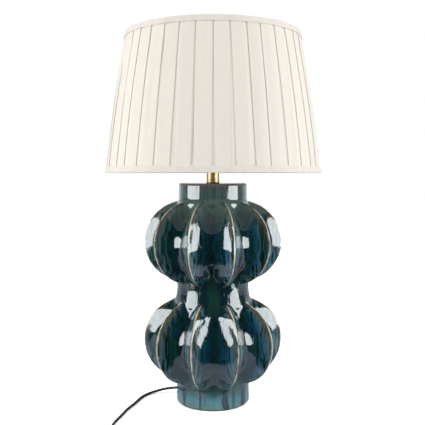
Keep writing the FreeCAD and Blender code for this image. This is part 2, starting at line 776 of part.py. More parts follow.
def shade_pieces():
    save("shade_cover", shade_cover())
    save("shade_lining", cone_shell(lining_step, LINING_T, SHADE_BOTTOM_Z + EDGE_INSET,
                                    SHADE_TOP_Z - EDGE_INSET))
    save("top_binding", binding(True))
    save("bottom_binding", binding(False))
    save("top_ring", wire_ring(True))
    save("bottom_ring", wire_ring(False))
    save("shade_spider", shade_spider())
    save("clamp_ring", clamp_ring())


def exit_point(radius, z):
    angle = math.radians(EXIT_AZIMUTH)
    return V(radius * math.cos(angle), radius * math.sin(angle), z)


def cord_grommet():
    outward = exit_point(1, 0)
    foot_inner_r = FOOT_R - WALL - 1.0
    body_start = exit_point(foot_inner_r - GROMMET_LIP_T, EXIT_Z)
    body_length = WALL + 1.0 + GROMMET_LIP_T + GROMMET_NOSE
    body = Part.makeCylinder(GROMMET_HOLE_R - 0.05, body_length, body_start, outward)
    inner_lip = Part.makeCylinder(GROMMET_LIP_R, GROMMET_LIP_T + 2.0, body_start, outward)
    outer_lip = Part.makeCylinder(GROMMET_LIP_R, GROMMET_LIP_T + 2.0,
                                  exit_point(FOOT_R - 2.0, EXIT_Z), outward)
    bore = Part.makeCylinder(CORD_R + CORD_FIT, body_length, body_start, outward)
    wall_outer = cylinder(FOOT_R + SCREWED_FIT, 0, FOOT_H)
    wall_inner = cylinder(foot_inner_r - SCREWED_FIT, 0, FOOT_H)
    lips = fuse([inner_lip.common(wall_inner), outer_lip.cut(wall_outer)])
    return fuse([body, lips]).cut(bore)


def inner_cord():
    """Cord from the foot hole, through the foot and up the hollow rod to the lampholder."""
    path_start = exit_point(FOOT_R + GROMMET_NOSE, EXIT_Z)
    bend_start = exit_point(INNER_BEND_R, EXIT_Z)
    bend_end = V(0, 0, EXIT_Z + INNER_BEND_R)
    slack = INNER_BEND_R * (1 - math.sqrt(0.5))
    middle = exit_point(slack, EXIT_Z + slack)
    top = V(0, 0, rod_top_z + CORD_TOP_IN_CAP)
    path = Part.Wire([
        Part.LineSegment(path_start, bend_start).toShape(),
        Part.Arc(bend_start, middle, bend_end).toShape(),
        Part.LineSegment(bend_end, top).toShape(),
    ])
    section = Part.Wire(Part.Circle(path_start, bend_start - path_start, CORD_R).toShape())
    solid = path.makePipeShell([section], True, False)
    print("cord_inside length", round(path.Length, 1), "volume ratio",
          round(solid.Volume / (math.pi * CORD_R ** 2 * path.Length), 4))
    return solid


def rounded_block(length, width, z_low, z_high, corner_r, edge_r=0, edge_z=0):
    """Upright block with round corners and, where asked, one softened rim at level edge_z."""
    block = Part.makeBox(length, width, z_high - z_low, V(-length / 2, -width / 2, z_low))
    upright = [e for e in block.Edges if abs(e.Vertexes[0].Z - e.Vertexes[1].Z) > 1]
    block = block.makeFillet(corner_r, upright)
    if edge_r == 0:
        return block
    rim = []
    for edge in block.Edges:
        level = edge.BoundBox
        if abs(level.ZMin - edge_z) < 0.01 and abs(level.ZMax - edge_z) < 0.01:
            rim.append(edge)
    return block.makeFillet(edge_r, rim)


def switch_parts():
    """Inline rocker switch, modelled along X about its centre, then laid in place."""
    mid_z = SWITCH_HALF_H
    top_z = 2 * SWITCH_HALF_H
    inner_l = SWITCH_L - 2 * SWITCH_WALL
    inner_w = SWITCH_W - 2 * SWITCH_WALL
    inner_corner = SWITCH_CORNER_R - SWITCH_WALL
    base = rounded_block(SWITCH_L, SWITCH_W, 0, mid_z, SWITCH_CORNER_R, SWITCH_EDGE_R, 0)
    cover = rounded_block(SWITCH_L, SWITCH_W, mid_z, top_z, SWITCH_CORNER_R, SWITCH_EDGE_R, top_z)
    pocket_low = rounded_block(inner_l, inner_w, SWITCH_WALL, mid_z, inner_corner)
    pocket_high = rounded_block(inner_l, inner_w, mid_z, top_z - SWITCH_WALL, inner_corner)
    cord_hole = Part.makeCylinder(CORD_R + CORD_FIT, SWITCH_L, V(-SWITCH_L / 2, 0, mid_z),
                                  V(1, 0, 0))
    base = base.cut(pocket_low)
    cover = cover.cut(pocket_high)
    posts_low = []
    posts_high = []
    screw_holes = []
    head_holes = []
    screws = []
    screw_top_z = mid_z + 5.0
    for x, y in ((-SWITCH_SCREW_X, 6.0), (SWITCH_SCREW_X, -6.0)):
        posts_low.append(cylinder(SWITCH_POST_R, SWITCH_WALL - 0.5, mid_z, x, y))
        posts_high.append(cylinder(SWITCH_POST_R, mid_z, top_z - SWITCH_WALL + 0.5, x, y))
        screw_holes.append(cylinder(SWITCH_SCREW_R, 0, screw_top_z, x, y))
        head_holes.append(cylinder(SWITCH_SCREW_HEAD_R, 0, SWITCH_SCREW_HEAD_T + 0.4, x, y))
        head_z = 0.4
        shank = cylinder(SWITCH_SCREW_R - SCREWED_FIT, head_z, screw_top_z - 0.3, x, y)
        head = cylinder(SWITCH_SCREW_HEAD_R - LOOSE_FIT, head_z, head_z + SWITCH_SCREW_HEAD_T, x, y)
        slot = Part.makeBox(2 * SWITCH_SCREW_HEAD_R, 0.6, 0.8,
                            V(x - SWITCH_SCREW_HEAD_R, y - 0.3, head_z))
        screws.append(fuse([shank, head]).cut(slot))
    lugs = []
    lug_y = ROCKER_W / 2 + ROCKER_CLEAR
    for low_y in (lug_y, -lug_y - PIN_LUG_T):
        lugs.append(Part.makeBox(8.0, PIN_LUG_T, top_z - 0.5 * SWITCH_WALL - mid_z,
                                 V(-4.0, low_y, mid_z)))
    window = Part.makeBox(2 * (ROCKER_R + ROCKER_CLEAR), ROCKER_W + 2 * ROCKER_CLEAR, top_z,
                          V(-ROCKER_R - ROCKER_CLEAR, -ROCKER_W / 2 - ROCKER_CLEAR, mid_z))
    pin_length = 2 * (lug_y + PIN_LUG_T)
    pin_start = V(0, -pin_length / 2, ROCKER_PIVOT_Z)
    pin_hole = Part.makeCylinder(PIN_R, pin_length, pin_start, V(0, 1, 0))
    base = fuse([base] + posts_low).cut(fuse([cord_hole] + screw_holes + head_holes))
    cover = fuse([cover] + posts_high + lugs)
    cover = cover.cut(window).cut(pin_hole).cut(fuse([cord_hole] + screw_holes))
    pin = Part.makeCylinder(PIN_R - SCREWED_FIT, pin_length - 0.2, pin_start + V(0, 0.1, 0),
                            V(0, 1, 0))
    pieces = {
        "switch_base": base,
        "switch_cover": cover,
        "switch_rocker": switch_rocker(),
        "rocker_pin": pin,
        "switch_screws": Part.makeCompound(screws),
    }
    for name, shape in pieces.items():
        save(name, place(shape, SWITCH_CENTRE, SWITCH_HEADING))


def switch_rocker():
    """Key with round ends about its pivot, dished on top, resting tipped to one side."""
    def polar(angle, radius=ROCKER_R):
        turn = math.radians(angle)
        return V(radius * math.cos(turn), -ROCKER_W / 2, radius * math.sin(turn))
    low = ROCKER_LOW_ANGLE
    top = ROCKER_TOP_ANGLE
    dish = V(0, -ROCKER_W / 2, polar(top).z - ROCKER_DIP)
    edges = [
        Part.Arc(polar(low), polar((low + top) / 2), polar(top)).toShape(),
        Part.Arc(polar(top), dish, polar(180 - top)).toShape(),
        Part.Arc(polar(180 - top), polar(180 - (low + top) / 2), polar(180 - low)).toShape(),
        Part.LineSegment(polar(180 - low), V(0, -ROCKER_W / 2, -2.6)).toShape(),
        Part.LineSegment(V(0, -ROCKER_W / 2, -2.6), polar(low)).toShape(),
    ]
    key = Part.Face(Part.Wire(edges)).extrude(V(0, ROCKER_W, 0))
    key = key.cut(Part.makeCylinder(PIN_R, ROCKER_W, V(0, -ROCKER_W / 2, 0), V(0, 1, 0)))
    key.rotate(ORIGIN, V(0, 1, 0), ROCKER_TILT)
    key.translate(V(0, 0, ROCKER_PIVOT_Z))
    return key


def along(centre, heading, distance, z):
    angle = math.radians(heading)
    return V(centre.x + distance * math.cos(angle), centre.y + distance * math.sin(angle), z)


def free_cord():
    """Lead to the switch, tail to the coil, the coil and the short end to the plug."""
    half = SWITCH_L / 2
    lead_points = [
        exit_point(FOOT_R + GROMMET_NOSE, EXIT_Z),
        V(-101, 35.5, 10.5),
        V(-124, 35.0, cord_floor_z + 1.2),
        V(-142, 21.0, cord_floor_z),
        V(-153, -3.0, cord_floor_z),
        V(-160.0, -33.0, cord_floor_z),
        V(-171.5, -65.0, cord_floor_z),
        V(-178.5, -101.0, cord_floor_z),
        V(-188.0, -138.0, cord_floor_z),
        V(-189.5, -175.0, cord_floor_z),
        V(-178.0, -204.0, cord_floor_z + 1.0),
        along(SWITCH_CENTRE, SWITCH_HEADING, -half - 14, SWITCH_HALF_H - 1.0),
        along(SWITCH_CENTRE, SWITCH_HEADING, -half + CORD_GRIP, SWITCH_HALF_H),
    ]
    tail_points = [
        along(SWITCH_CENTRE, SWITCH_HEADING, half - CORD_GRIP, SWITCH_HALF_H),
        along(SWITCH_CENTRE, SWITCH_HEADING, half + 14, SWITCH_HALF_H - 1.0),
        V(-54.0, -237.0, cord_floor_z + 1.5),
        V(-42.5, -259.0, cord_floor_z),
        V(COIL_CENTRE.x + COIL_MID_R, COIL_CENTRE.y + COIL_BITE, cord_floor_z),
    ]
    plug_back = along(PLUG_CENTRE, PLUG_HEADING, -PLUG_L / 2 - PLUG_RELIEF_L, PLUG_CENTRE_Z)
    end_points = [
        V(COIL_CENTRE.x - COIL_BITE, COIL_CENTRE.y - COIL_MID_R, cord_floor_z + 1.0),
        V(COIL_CENTRE.x - 25.0, COIL_CENTRE.y - COIL_MID_R - 0.5, cord_floor_z + 1.8),
        along(PLUG_CENTRE, PLUG_HEADING, -PLUG_L / 2 - PLUG_RELIEF_L - 14, PLUG_CENTRE_Z),
        plug_back + (along(PLUG_CENTRE, PLUG_HEADING, 0, PLUG_CENTRE_Z) - plug_back) * 0.25,
    ]
    lead, lead_length = tube("cord_lead", lead_points, CORD_R)
    tail, tail_length = tube("cord_tail", tail_points, CORD_R)
    end, end_length = tube("cord_end", end_points, CORD_R)
    coil_length = CORD_LENGTH - lead_length - tail_length - end_length
    turns = coil_length / (2 * math.pi * COIL_MID_R)
    print("coil length", round(coil_length, 1), "turns", round(turns, 2))
    save("cord_lead", lead)
    save("cord_tail", tail)
    save("cord_end", end)
    save("cord_coil", cord_coil())


def cord_coil():
    """The wound turns as one band with softened rims."""
    inner_r = COIL_MID_R - COIL_BAND_W / 2
    outer_r = COIL_MID_R + COIL_BAND_W / 2
    band = ring(outer_r, inner_r, 0, COIL_BAND_H)
    rims = [e for e in band.Edges if e.Closed]
    band = band.makeChamfer(COIL_EDGE, rims)
    band.translate(COIL_CENTRE)
    return band


def plug_parts():
    """Flat two-pin plug lying on its broad side, built along X, pins forward."""
    half_l = PLUG_L / 2
    z = PLUG_CENTRE_Z
    outline = [
        V(half_l, -PLUG_W / 2 + 5, 0), V(half_l, PLUG_W / 2 - 5, 0),
        V(half_l - 5, PLUG_W / 2, 0), V(2, PLUG_W / 2, 0),
        V(-half_l, PLUG_WAIST_W / 2, 0), V(-half_l, -PLUG_WAIST_W / 2, 0),
        V(2, -PLUG_W / 2, 0), V(half_l - 5, -PLUG_W / 2, 0),
    ]
    body = Part.Face(Part.makePolygon(outline + [outline[0]])).extrude(V(0, 0, PLUG_T))
    upright = [e for e in body.Edges if abs(e.Vertexes[0].Z - e.Vertexes[1].Z) > 1]
    body = body.makeFillet(4.0, upright)
    flat_rims = [e for e in body.Edges if abs(e.BoundBox.ZMin - e.BoundBox.ZMax) < 0.01]
    body = body.makeFillet(2.2, flat_rims)
    body.translate(V(0, 0, z - PLUG_T / 2))
    pins = []
    for y in (-PLUG_PIN_PITCH / 2, PLUG_PIN_PITCH / 2):
        start = V(half_l - 6.0, y, z)
        shank = Part.makeCylinder(PLUG_PIN_R, PLUG_PIN_L + 6.0, start, V(1, 0, 0))
        tip = [e for e in shank.Edges if e.Closed and e.BoundBox.XMin > half_l + 5]
        pins.append(shank.makeFillet(1.2, tip))
    pin_group = Part.makeCompound(pins)
    body = body.cut(pin_group)
    relief = Part.makeCone(PLUG_RELIEF_TIP_R, PLUG_RELIEF_R, PLUG_RELIEF_L,
                           V(-half_l - PLUG_RELIEF_L, 0, z), V(1, 0, 0))
    cord_bore = Part.makeCylinder(CORD_R + CORD_FIT, PLUG_RELIEF_L + 6.0,
                                  V(-half_l - PLUG_RELIEF_L, 0, z), V(1, 0, 0))
    pieces = {
        "plug_body": body.cut(cord_bore),
        "plug_pins": pin_group,
        "plug_relief": relief.cut(cord_bore),
    }
    for name, shape in pieces.items():
        save(name, place(shape, PLUG_CENTRE, PLUG_HEADING))


os.makedirs("parts", exist_ok=True)
save("felt_pad", felt_pad())
save("ceramic_body", ceramic_body())
rod_and_fixings()
brass_neck()
save("holder_cap", holder_cap())
save("grub_screw", grub_screw())
save("holder_skirt", holder_skirt())
save("holder_insulator", holder_insulator())
save("screw_shell", screw_shell())
save("centre_contact", centre_contact())
save("terminal_screws", terminal_screws())
bulb_pieces()
shade_pieces()
save("cord_grommet", cord_grommet())
save("cord_inside", inner_cord())
free_cord()
switch_parts()
plug_parts()
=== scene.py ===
import random
from functools import partial
from math import copysign, cos, exp, hypot, pi, radians, sin

import bpy
import numpy as np
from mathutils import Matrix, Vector, noise


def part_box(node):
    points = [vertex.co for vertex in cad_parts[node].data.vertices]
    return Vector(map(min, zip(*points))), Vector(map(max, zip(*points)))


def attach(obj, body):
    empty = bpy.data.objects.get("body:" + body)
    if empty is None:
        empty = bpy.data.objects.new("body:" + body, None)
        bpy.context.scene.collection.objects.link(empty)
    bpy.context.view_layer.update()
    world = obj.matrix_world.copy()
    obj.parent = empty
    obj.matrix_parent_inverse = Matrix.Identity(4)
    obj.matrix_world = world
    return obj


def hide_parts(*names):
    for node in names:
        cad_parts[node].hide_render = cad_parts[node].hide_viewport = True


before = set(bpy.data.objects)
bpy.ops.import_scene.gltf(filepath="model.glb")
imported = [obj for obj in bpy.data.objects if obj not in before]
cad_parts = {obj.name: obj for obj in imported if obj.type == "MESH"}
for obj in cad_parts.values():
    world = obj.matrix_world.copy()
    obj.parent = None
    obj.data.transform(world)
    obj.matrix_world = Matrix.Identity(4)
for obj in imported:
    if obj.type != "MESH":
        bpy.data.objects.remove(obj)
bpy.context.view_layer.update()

bl_info = {
    "name": "Double gourd lamp",
    "version": (1, 0, 0),
    "blender": (4, 5, 0),
    "location": "3D View > Sidebar > Lamp",
    "description": "Dresses the table lamp: glazed gourds, pleated shade, brass, cord and studio",
    "category": "Object",
}

FRONT = -pi / 2


# ---- settings

def setting(kind, **options):
    """Short form of a property: its name, description and default."""
    def declared(name, description, default):
        return kind(name=name, description=description, default=default, **options)
    return declared


whole = setting(bpy.props.IntProperty)
number = setting(bpy.props.FloatProperty)
metres = setting(bpy.props.FloatProperty, unit="LENGTH")
rgb = setting(bpy.props.FloatVectorProperty, subtype="COLOR")


class CameraSettings(bpy.types.PropertyGroup):
    distance: metres("Distance", "From the lamp's axis to the lens", 1.35)
    height: metres("Height", "Height of the lens over the table", 0.474)
    lens: number("Focal length", "In mm, on a sensor 36 mm wide", 54.2)
    drop: number("Drop", "Shift of the frame down, as a share of its width", 0.0906)
    sideways: number("Sideways", "Shift of the frame sideways, as a share of its width", -0.001)


class GourdSettings(bpy.types.PropertyGroup):
    flutes: whole("Flutes", "Flutes round each gourd", 10)
    ridge_radius: metres("Ridge radius", "Axis to a ridge at the widest level", 0.1448)
    ridge_arc: metres("Ridge arc", "Radius of a ridge seen from the side", 0.084)
    valley_radius: metres("Valley radius", "Axis to a flute at the widest level", 0.114)
    valley_end_radius: metres("Valley end radius", "Axis to a flute where it ends", 0.075)
    valley_end_height: metres("Valley end height", "Widest level to the end of a flute", 0.062)
    arc_height: metres("Arc height", "Widest level to where a flute stops being round", 0.04)
    hollow: number("Hollow", "Roundness of a flute at the widest level", 0.94)
    end_hollow: number("End hollow", "Roundness of a flute where it ends", 0.3)
    end_power: number("End power", "Under 1 makes a flute run out in a point", 0.8)
    crown: metres("Crown", "Roundness of a ridge's edge", 0.0016)
    lower_level: metres("Lower level", "Widest level of the lower gourd", 0.129)
    upper_level: metres("Upper level", "Widest level of the upper gourd", 0.333)
    foot_radius: metres("Foot radius", "Radius of the straight foot", 0.0753)
    waist_radius: metres("Waist radius", "Radius of the core between the gourds", 0.0751)
    neck_radius: metres("Neck radius", "Radius of the straight neck", 0.0716)
    fillet: metres("Fillet", "Softness where a flute runs into the core", 0.02)
    wobble: metres("Wobble", "Unevenness of the hand-finished surface", 0.0007)


class GlazeSettings(bpy.types.PropertyGroup):
    deep: rgb("Deep glaze", "Where the glaze pools in a flute", (0.0012, 0.008, 0.0085))
    teal: rgb("Teal", "Main colour of the glaze", (0.0028, 0.038, 0.037))
    green: rgb("Green", "Green runs in the glaze", (0.009, 0.068, 0.037))
    blue: rgb("Blue", "Blue runs in the glaze", (0.006, 0.085, 0.165))
    # Pale blue beside each ridge: glaze runs, and in part a painted reflection of the bright
    # backdrop on the ridge flanks
    flank: rgb("Flank", "Pale blue runs beside a ridge", (0.105, 0.235, 0.29))
    tan: rgb("Tan", "Thin glaze beside a ridge", (0.115, 0.092, 0.048))
    cream: rgb("Cream", "Glaze on a ridge's edge", (0.72, 0.69, 0.53))
    shoulder: rgb("Shoulder", "Thin grey-green glaze under the neck", (0.048, 0.092, 0.078))
    # Painted reflection: pale colour standing in for the white backdrop mirrored on the side of
    # each ridge turned out from the middle of the view
    pale: rgb("Pale", "Palest runs beside a ridge", (0.3, 0.44, 0.48))
    slate: rgb("Slate", "Drips down the foot", (0.028, 0.056, 0.082))


class ShadeSettings(bpy.types.PropertyGroup):
    pleats: whole("Pleats", "Box pleats round the shade", 38)
    bottom_radius: metres("Bottom radius", "Outside of the cloth at the bottom edge", 0.224)
    top_radius: metres("Top radius", "Outside of the cloth at the top edge", 0.1835)
    gap_bottom: metres("Gap at the bottom", "Width of the gap between two pleats", 0.0105)
    gap_top: metres("Gap at the top", "Width of the gap between two pleats", 0.0034)
    depth: metres("Depth", "Panel to the cloth behind a gap", 0.0015)
    belly: metres("Belly", "How far the cloth stands out half way up", 0.003)
    tuck: metres("Tuck", "How far the cloth goes under a panel at the bottom", 0.0035)
    cloth: rgb("Cloth", "Pleated cloth", (0.902, 0.846, 0.744))
    # Painted shade: a warmer tone of the cloth drawn in the gaps between pleats, for the warm
    # shade that falls there
    fold: rgb("Fold", "Cloth inside a gap", (0.93, 0.865, 0.735))
    binding: rgb("Binding", "Cloth bands", (0.888, 0.832, 0.73))


class CordSettings(bpy.types.PropertyGroup):
    length: metres("Length", "Whole length of the cord", 1.8)
    diameter: metres("Diameter", "Outside of the cord", 0.005)
    coil_turns: number("Coil turns", "Turns of the wound spare length", 7.29)
    coil_radius: metres("Coil radius", "Middle of the turns", 0.0285)
    colour: rgb("Colour", "Colour of the sheath", (0.012, 0.012, 0.013))


class StageSettings(bpy.types.PropertyGroup):
    ambient: number("Ambient", "Even light from all round", 0.58)
    lamp_power: number("Lamp power", "Watts of each soft lamp", 17.0)
    box_glow: number("Box glow", "Brightness of the soft boxes", 6.0)
    box_near: number("Box near edge", "Degrees from the front to a soft box's near edge", 48.0)
    box_far: number("Box far edge", "Degrees from the front to a soft box's far edge", 88.0)
    box_bottom: metres("Box bottom", "Lower edge of a soft box", 0.14)
    box_top: metres("Box top", "Upper edge of a soft box", 0.68)
    box_distance: metres("Box distance", "From the lamp's axis to a soft box", 0.8)
    table_front: metres("Table front", "Front edge, as the glaze mirrors it", -0.16)


# ---- helpers

def settings(name):
    return getattr(bpy.context.scene, name)


def new_object(name, data):
    made = bpy.data.objects.new(name, data)
    bpy.context.scene.collection.objects.link(made)
    return made


def new_mesh(name, points, faces, finish):
    mesh = bpy.data.meshes.new(name)
    mesh.from_pydata([tuple(p) for p in points], [], faces)
    mesh.update()
    mesh.materials.append(finish)
    return new_object(name, mesh)


def mesh_piece(name, points, faces, finish, body, smooth=True):
    piece = new_mesh(name, points, faces, finish)
    if smooth:
        piece.data.shade_smooth()
    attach(piece, body)
    return piece


def point_values(piece, name, values):
    """Stores one number per mesh point for the material to read."""
    layer = piece.data.attributes.new(name, "FLOAT", "POINT")
    layer.data.foreach_set("value", np.asarray(values, np.float32).ravel())


def row_faces(lower, upper, columns):
    """Quads between two closed rows of points, given by their first points."""
    faces = []
    for column in range(columns):
        after = (column + 1) % columns
        faces.append((lower + column, lower + after, upper + after, upper + column))
    return faces


def ring_faces(rows, columns):
    """Quads of a turned surface, facing outward as its rows rise."""
    faces = []
    for row in range(rows - 1):
        faces += row_faces(row * columns, (row + 1) * columns, columns)
    return faces


def node_at(name):
    low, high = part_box(name)
    return Vector(low), Vector(high)


def between(first, last, share):
    return first + (last - first) * share


# ---- material tools

def feed(tree, socket, value):
    """Links an output into a socket, or gives the socket a plain value."""
    if isinstance(value, bpy.types.NodeSocket):
        tree.links.new(value, socket)
    else:
        socket.default_value = (*value, 1) if socket.type == "RGBA" else value


def add(tree, kind, values=None, **options):
    """New shader node with its options, and plain values or links for its inputs."""
    made = tree.nodes.new("ShaderNode" + kind)
    for key, value in options.items():
        setattr(made, key, value)
    for key, value in (values or {}).items():
        feed(tree, made.inputs[key], value)
    return made


def calc(tree, operation, *values):
    made = add(tree, "Math", dict(enumerate(values)), operation=operation)
    return made.outputs["Value"]


def multiply(tree, first, *others):
    for other in others:
        first = calc(tree, "MULTIPLY", first, other)
    return first


def step_between(tree, value, low, high, kind="SMOOTHSTEP"):
    """From 0 at one value to 1 at another, which may be the lower of the two."""
    made = add(tree, "MapRange", {"Value": value, "From Min": low, "From Max": high},
               interpolation_type=kind)
    return made.outputs["Result"]


def ramp(tree, factor, stops):
    """Colour along a factor, from (place, colour) stops."""
    made = add(tree, "ValToRGB", {"Fac": factor})
    band = made.color_ramp
    while len(band.elements) > 1:
        band.elements.remove(band.elements[-1])
    band.elements[0].position = stops[0][0]
    band.elements[0].color = (*stops[0][1], 1)
    for place, tint in stops[1:]:
        band.elements.new(place).color = (*tint, 1)
    return made.outputs["Color"]


def mixed(tree, factor, first, second):
    """Colour between two colours, each a plain colour or an output."""
    made = add(tree, "Mix", {"Factor": factor}, data_type="RGBA")
    for socket in made.inputs:
        if socket.type == "RGBA":
            feed(tree, socket, first if socket.name == "A" else second)
    return next(socket for socket in made.outputs if socket.type == "RGBA")


def cloud(tree, scale, detail):
    """Soft noise in the object's own space."""
    place = add(tree, "TexCoord").outputs["Object"]
    made = add(tree, "TexNoise", {"Vector": place, "Scale": scale, "Detail": detail})
    return made.outputs["Fac"]


def point_value(tree, name):
    """Number that point_values stored on the mesh."""
    return add(tree, "Attribute", attribute_name=name).outputs["Fac"]


def material(name, values):
    """New material, its tree, and its shader's inputs with the given values."""
    made = bpy.data.materials.new(name)
    made.use_nodes = True
    shader = made.node_tree.nodes["Principled BSDF"].inputs
    for key, value in values.items():
        feed(made.node_tree, shader[key], value)
    return made, made.node_tree, shader


def bump(tree, shader, height, strength, distance):
    made = add(tree, "Bump", {"Height": height, "Strength": strength, "Distance": distance})
    feed(tree, shader["Normal"], made.outputs["Normal"])


def new_group(name, inputs, outputs):
    """Node group of plain numbers: its tree, what it is given and what it gives back."""
    tree = bpy.data.node_groups.new(name, "ShaderNodeTree")
    for label, default in inputs.items():
        socket = tree.interface.new_socket(label, in_out="INPUT", socket_type="NodeSocketFloat")
        socket.default_value = default
    for label in outputs:
        tree.interface.new_socket(label, in_out="OUTPUT", socket_type="NodeSocketFloat")
    source, sink = (tree.nodes.new(kind) for kind in ("NodeGroupInput", "NodeGroupOutput"))
    return tree, source.outputs, sink.inputs


def placed_group(tree, name, **values):
    return add(tree, "Group", values, node_tree=bpy.data.node_groups[name]).outputs


def make_running_group():
    """Runs down a surface: a mask that changes fast sideways and slowly along Z."""
    tree, given, result = new_group("Glaze runs", {"Across": 90.0, "Down": 9.0, "Shift": 0.0},
                                    ["Mask"])
    place = add(tree, "TexCoord").outputs["Object"]
    scale = add(tree, "CombineXYZ", {"X": given["Across"], "Y": given["Across"],
                                     "Z": given["Down"]})
    stretched = add(tree, "VectorMath", {0: place, 1: scale.outputs["Vector"]},
                    operation="MULTIPLY")
    runs = add(tree, "TexNoise", {"Vector": stretched.outputs["Vector"], "W": given["Shift"],
                                  "Scale": 1.0, "Detail": 3.0, "Distortion": 0.2},
               noise_dimensions="4D")
    feed(tree, result["Mask"], step_between(tree, runs.outputs["Fac"], 0.3, 0.7))


def make_weave_group():
    """Plain weave: thread height and a fine unevenness of tone."""
    tree, given, result = new_group("Plain weave", {"Threads": 1600.0, "Slub": 60.0},
                                    ["Height", "Tone"])
    place = add(tree, "TexCoord").outputs["Object"]
    scaled = add(tree, "VectorMath", {0: place, "Scale": given["Threads"]},
                 operation="SCALE").outputs["Vector"]
    threads = [add(tree, "TexWave", {"Vector": scaled, "Scale": 1.0, "Distortion": 0.6},
                   bands_direction=direction).outputs["Fac"] for direction in ("X", "Z")]
    feed(tree, result["Height"], calc(tree, "ADD", *threads))
    feed(tree, result["Tone"], step_between(tree, cloud(tree, given["Slub"], 4.0), 0.3, 0.7))


def make_wear_group():
    """Soft unevenness of gloss, as handling leaves on metal, rubber and moulded plastic."""
    tree, given, result = new_group("Handling wear", {"Scale": 120.0, "Low": 0.25, "High": 0.4},
                                    ["Roughness", "Grain"])
    grain = cloud(tree, given["Scale"], 5.0)
    gloss = add(tree, "MapRange", {"Value": grain, "From Min": 0.3, "From Max": 0.7,
                                   "To Min": given["Low"], "To Max": given["High"]})
    feed(tree, result["Roughness"], gloss.outputs["Result"])
    feed(tree, result["Grain"], grain)


def toned(tint, *factors):
    """A colour times one factor, or times one for each of its three parts."""
    return tuple(part * factor for part, factor in zip(tint, factors * (3 // len(factors))))


def worn_material(name, tint, low, high, scale=120.0, grain=0.0, metallic=0.0):
    """Plain finish whose gloss comes from the handling wear group."""
    made, tree, shader = material(name, {"Base Color": tint, "Roughness": low,
                                         "Metallic": metallic})
    wear = placed_group(tree, "Handling wear", Scale=scale, Low=low, High=high)
    feed(tree, shader["Roughness"], wear["Roughness"])
    feed(tree, shader["Base Color"], mixed(tree, wear["Grain"], toned(tint, 0.82), tint))
    if grain:
        bump(tree, shader, wear["Grain"], grain, 0.0004)
    return made


def woven_material(name, tint, shadow, threads, sheen):
    made, tree, shader = material(name, {"Base Color": tint, "Roughness": 0.9,
                                         "Sheen Weight": sheen, "Specular IOR Level": 0.2})
    weave = placed_group(tree, "Plain weave", Threads=threads)
    feed(tree, shader["Base Color"], mixed(tree, weave["Tone"], shadow, tint))
    bump(tree, shader, weave["Height"], 0.25, 0.0002)
    return made


def dress(names, finish):
    """Gives carried-over nodes their material."""
    for name in names:
        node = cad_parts[name]
        if not node.material_slots:
            node.data.materials.append(finish)
        for held in node.material_slots:
            held.material = finish


# ---- glaze

# Colours of the foot, waist and neck, by their place from the table to the body's top
CORE_HEIGHT = 0.455
CORE_BANDS = (
    (0.000, (0.200, 0.290, 0.190)), (0.020, (0.140, 0.330, 0.310)),
    (0.044, (0.095, 0.310, 0.380)), (0.068, (0.072, 0.185, 0.165)),
    (0.088, (0.056, 0.125, 0.100)), (0.130, (0.025, 0.070, 0.058)),
    (0.420, (0.003, 0.026, 0.026)), (0.500, (0.005, 0.042, 0.022)),
    (0.570, (0.004, 0.032, 0.024)), (0.820, (0.024, 0.080, 0.060)),
    (0.900, (0.075, 0.150, 0.110)), (0.945, (0.105, 0.165, 0.145)),
    (0.980, (0.130, 0.160, 0.155)), (0.992, (0.280, 0.200, 0.120)),
)
MISTY_VIOLET = (0.035, 0.042, 0.07)
NECK_STREAK = (0.036, 0.052, 0.066)
DARK_GREEN = (0.02, 0.06, 0.05)
MAUVE = (0.13, 0.11, 0.115)
GREY_GREEN = (0.13, 0.23, 0.165)
WAIST_BLUE = (0.003, 0.01, 0.026)


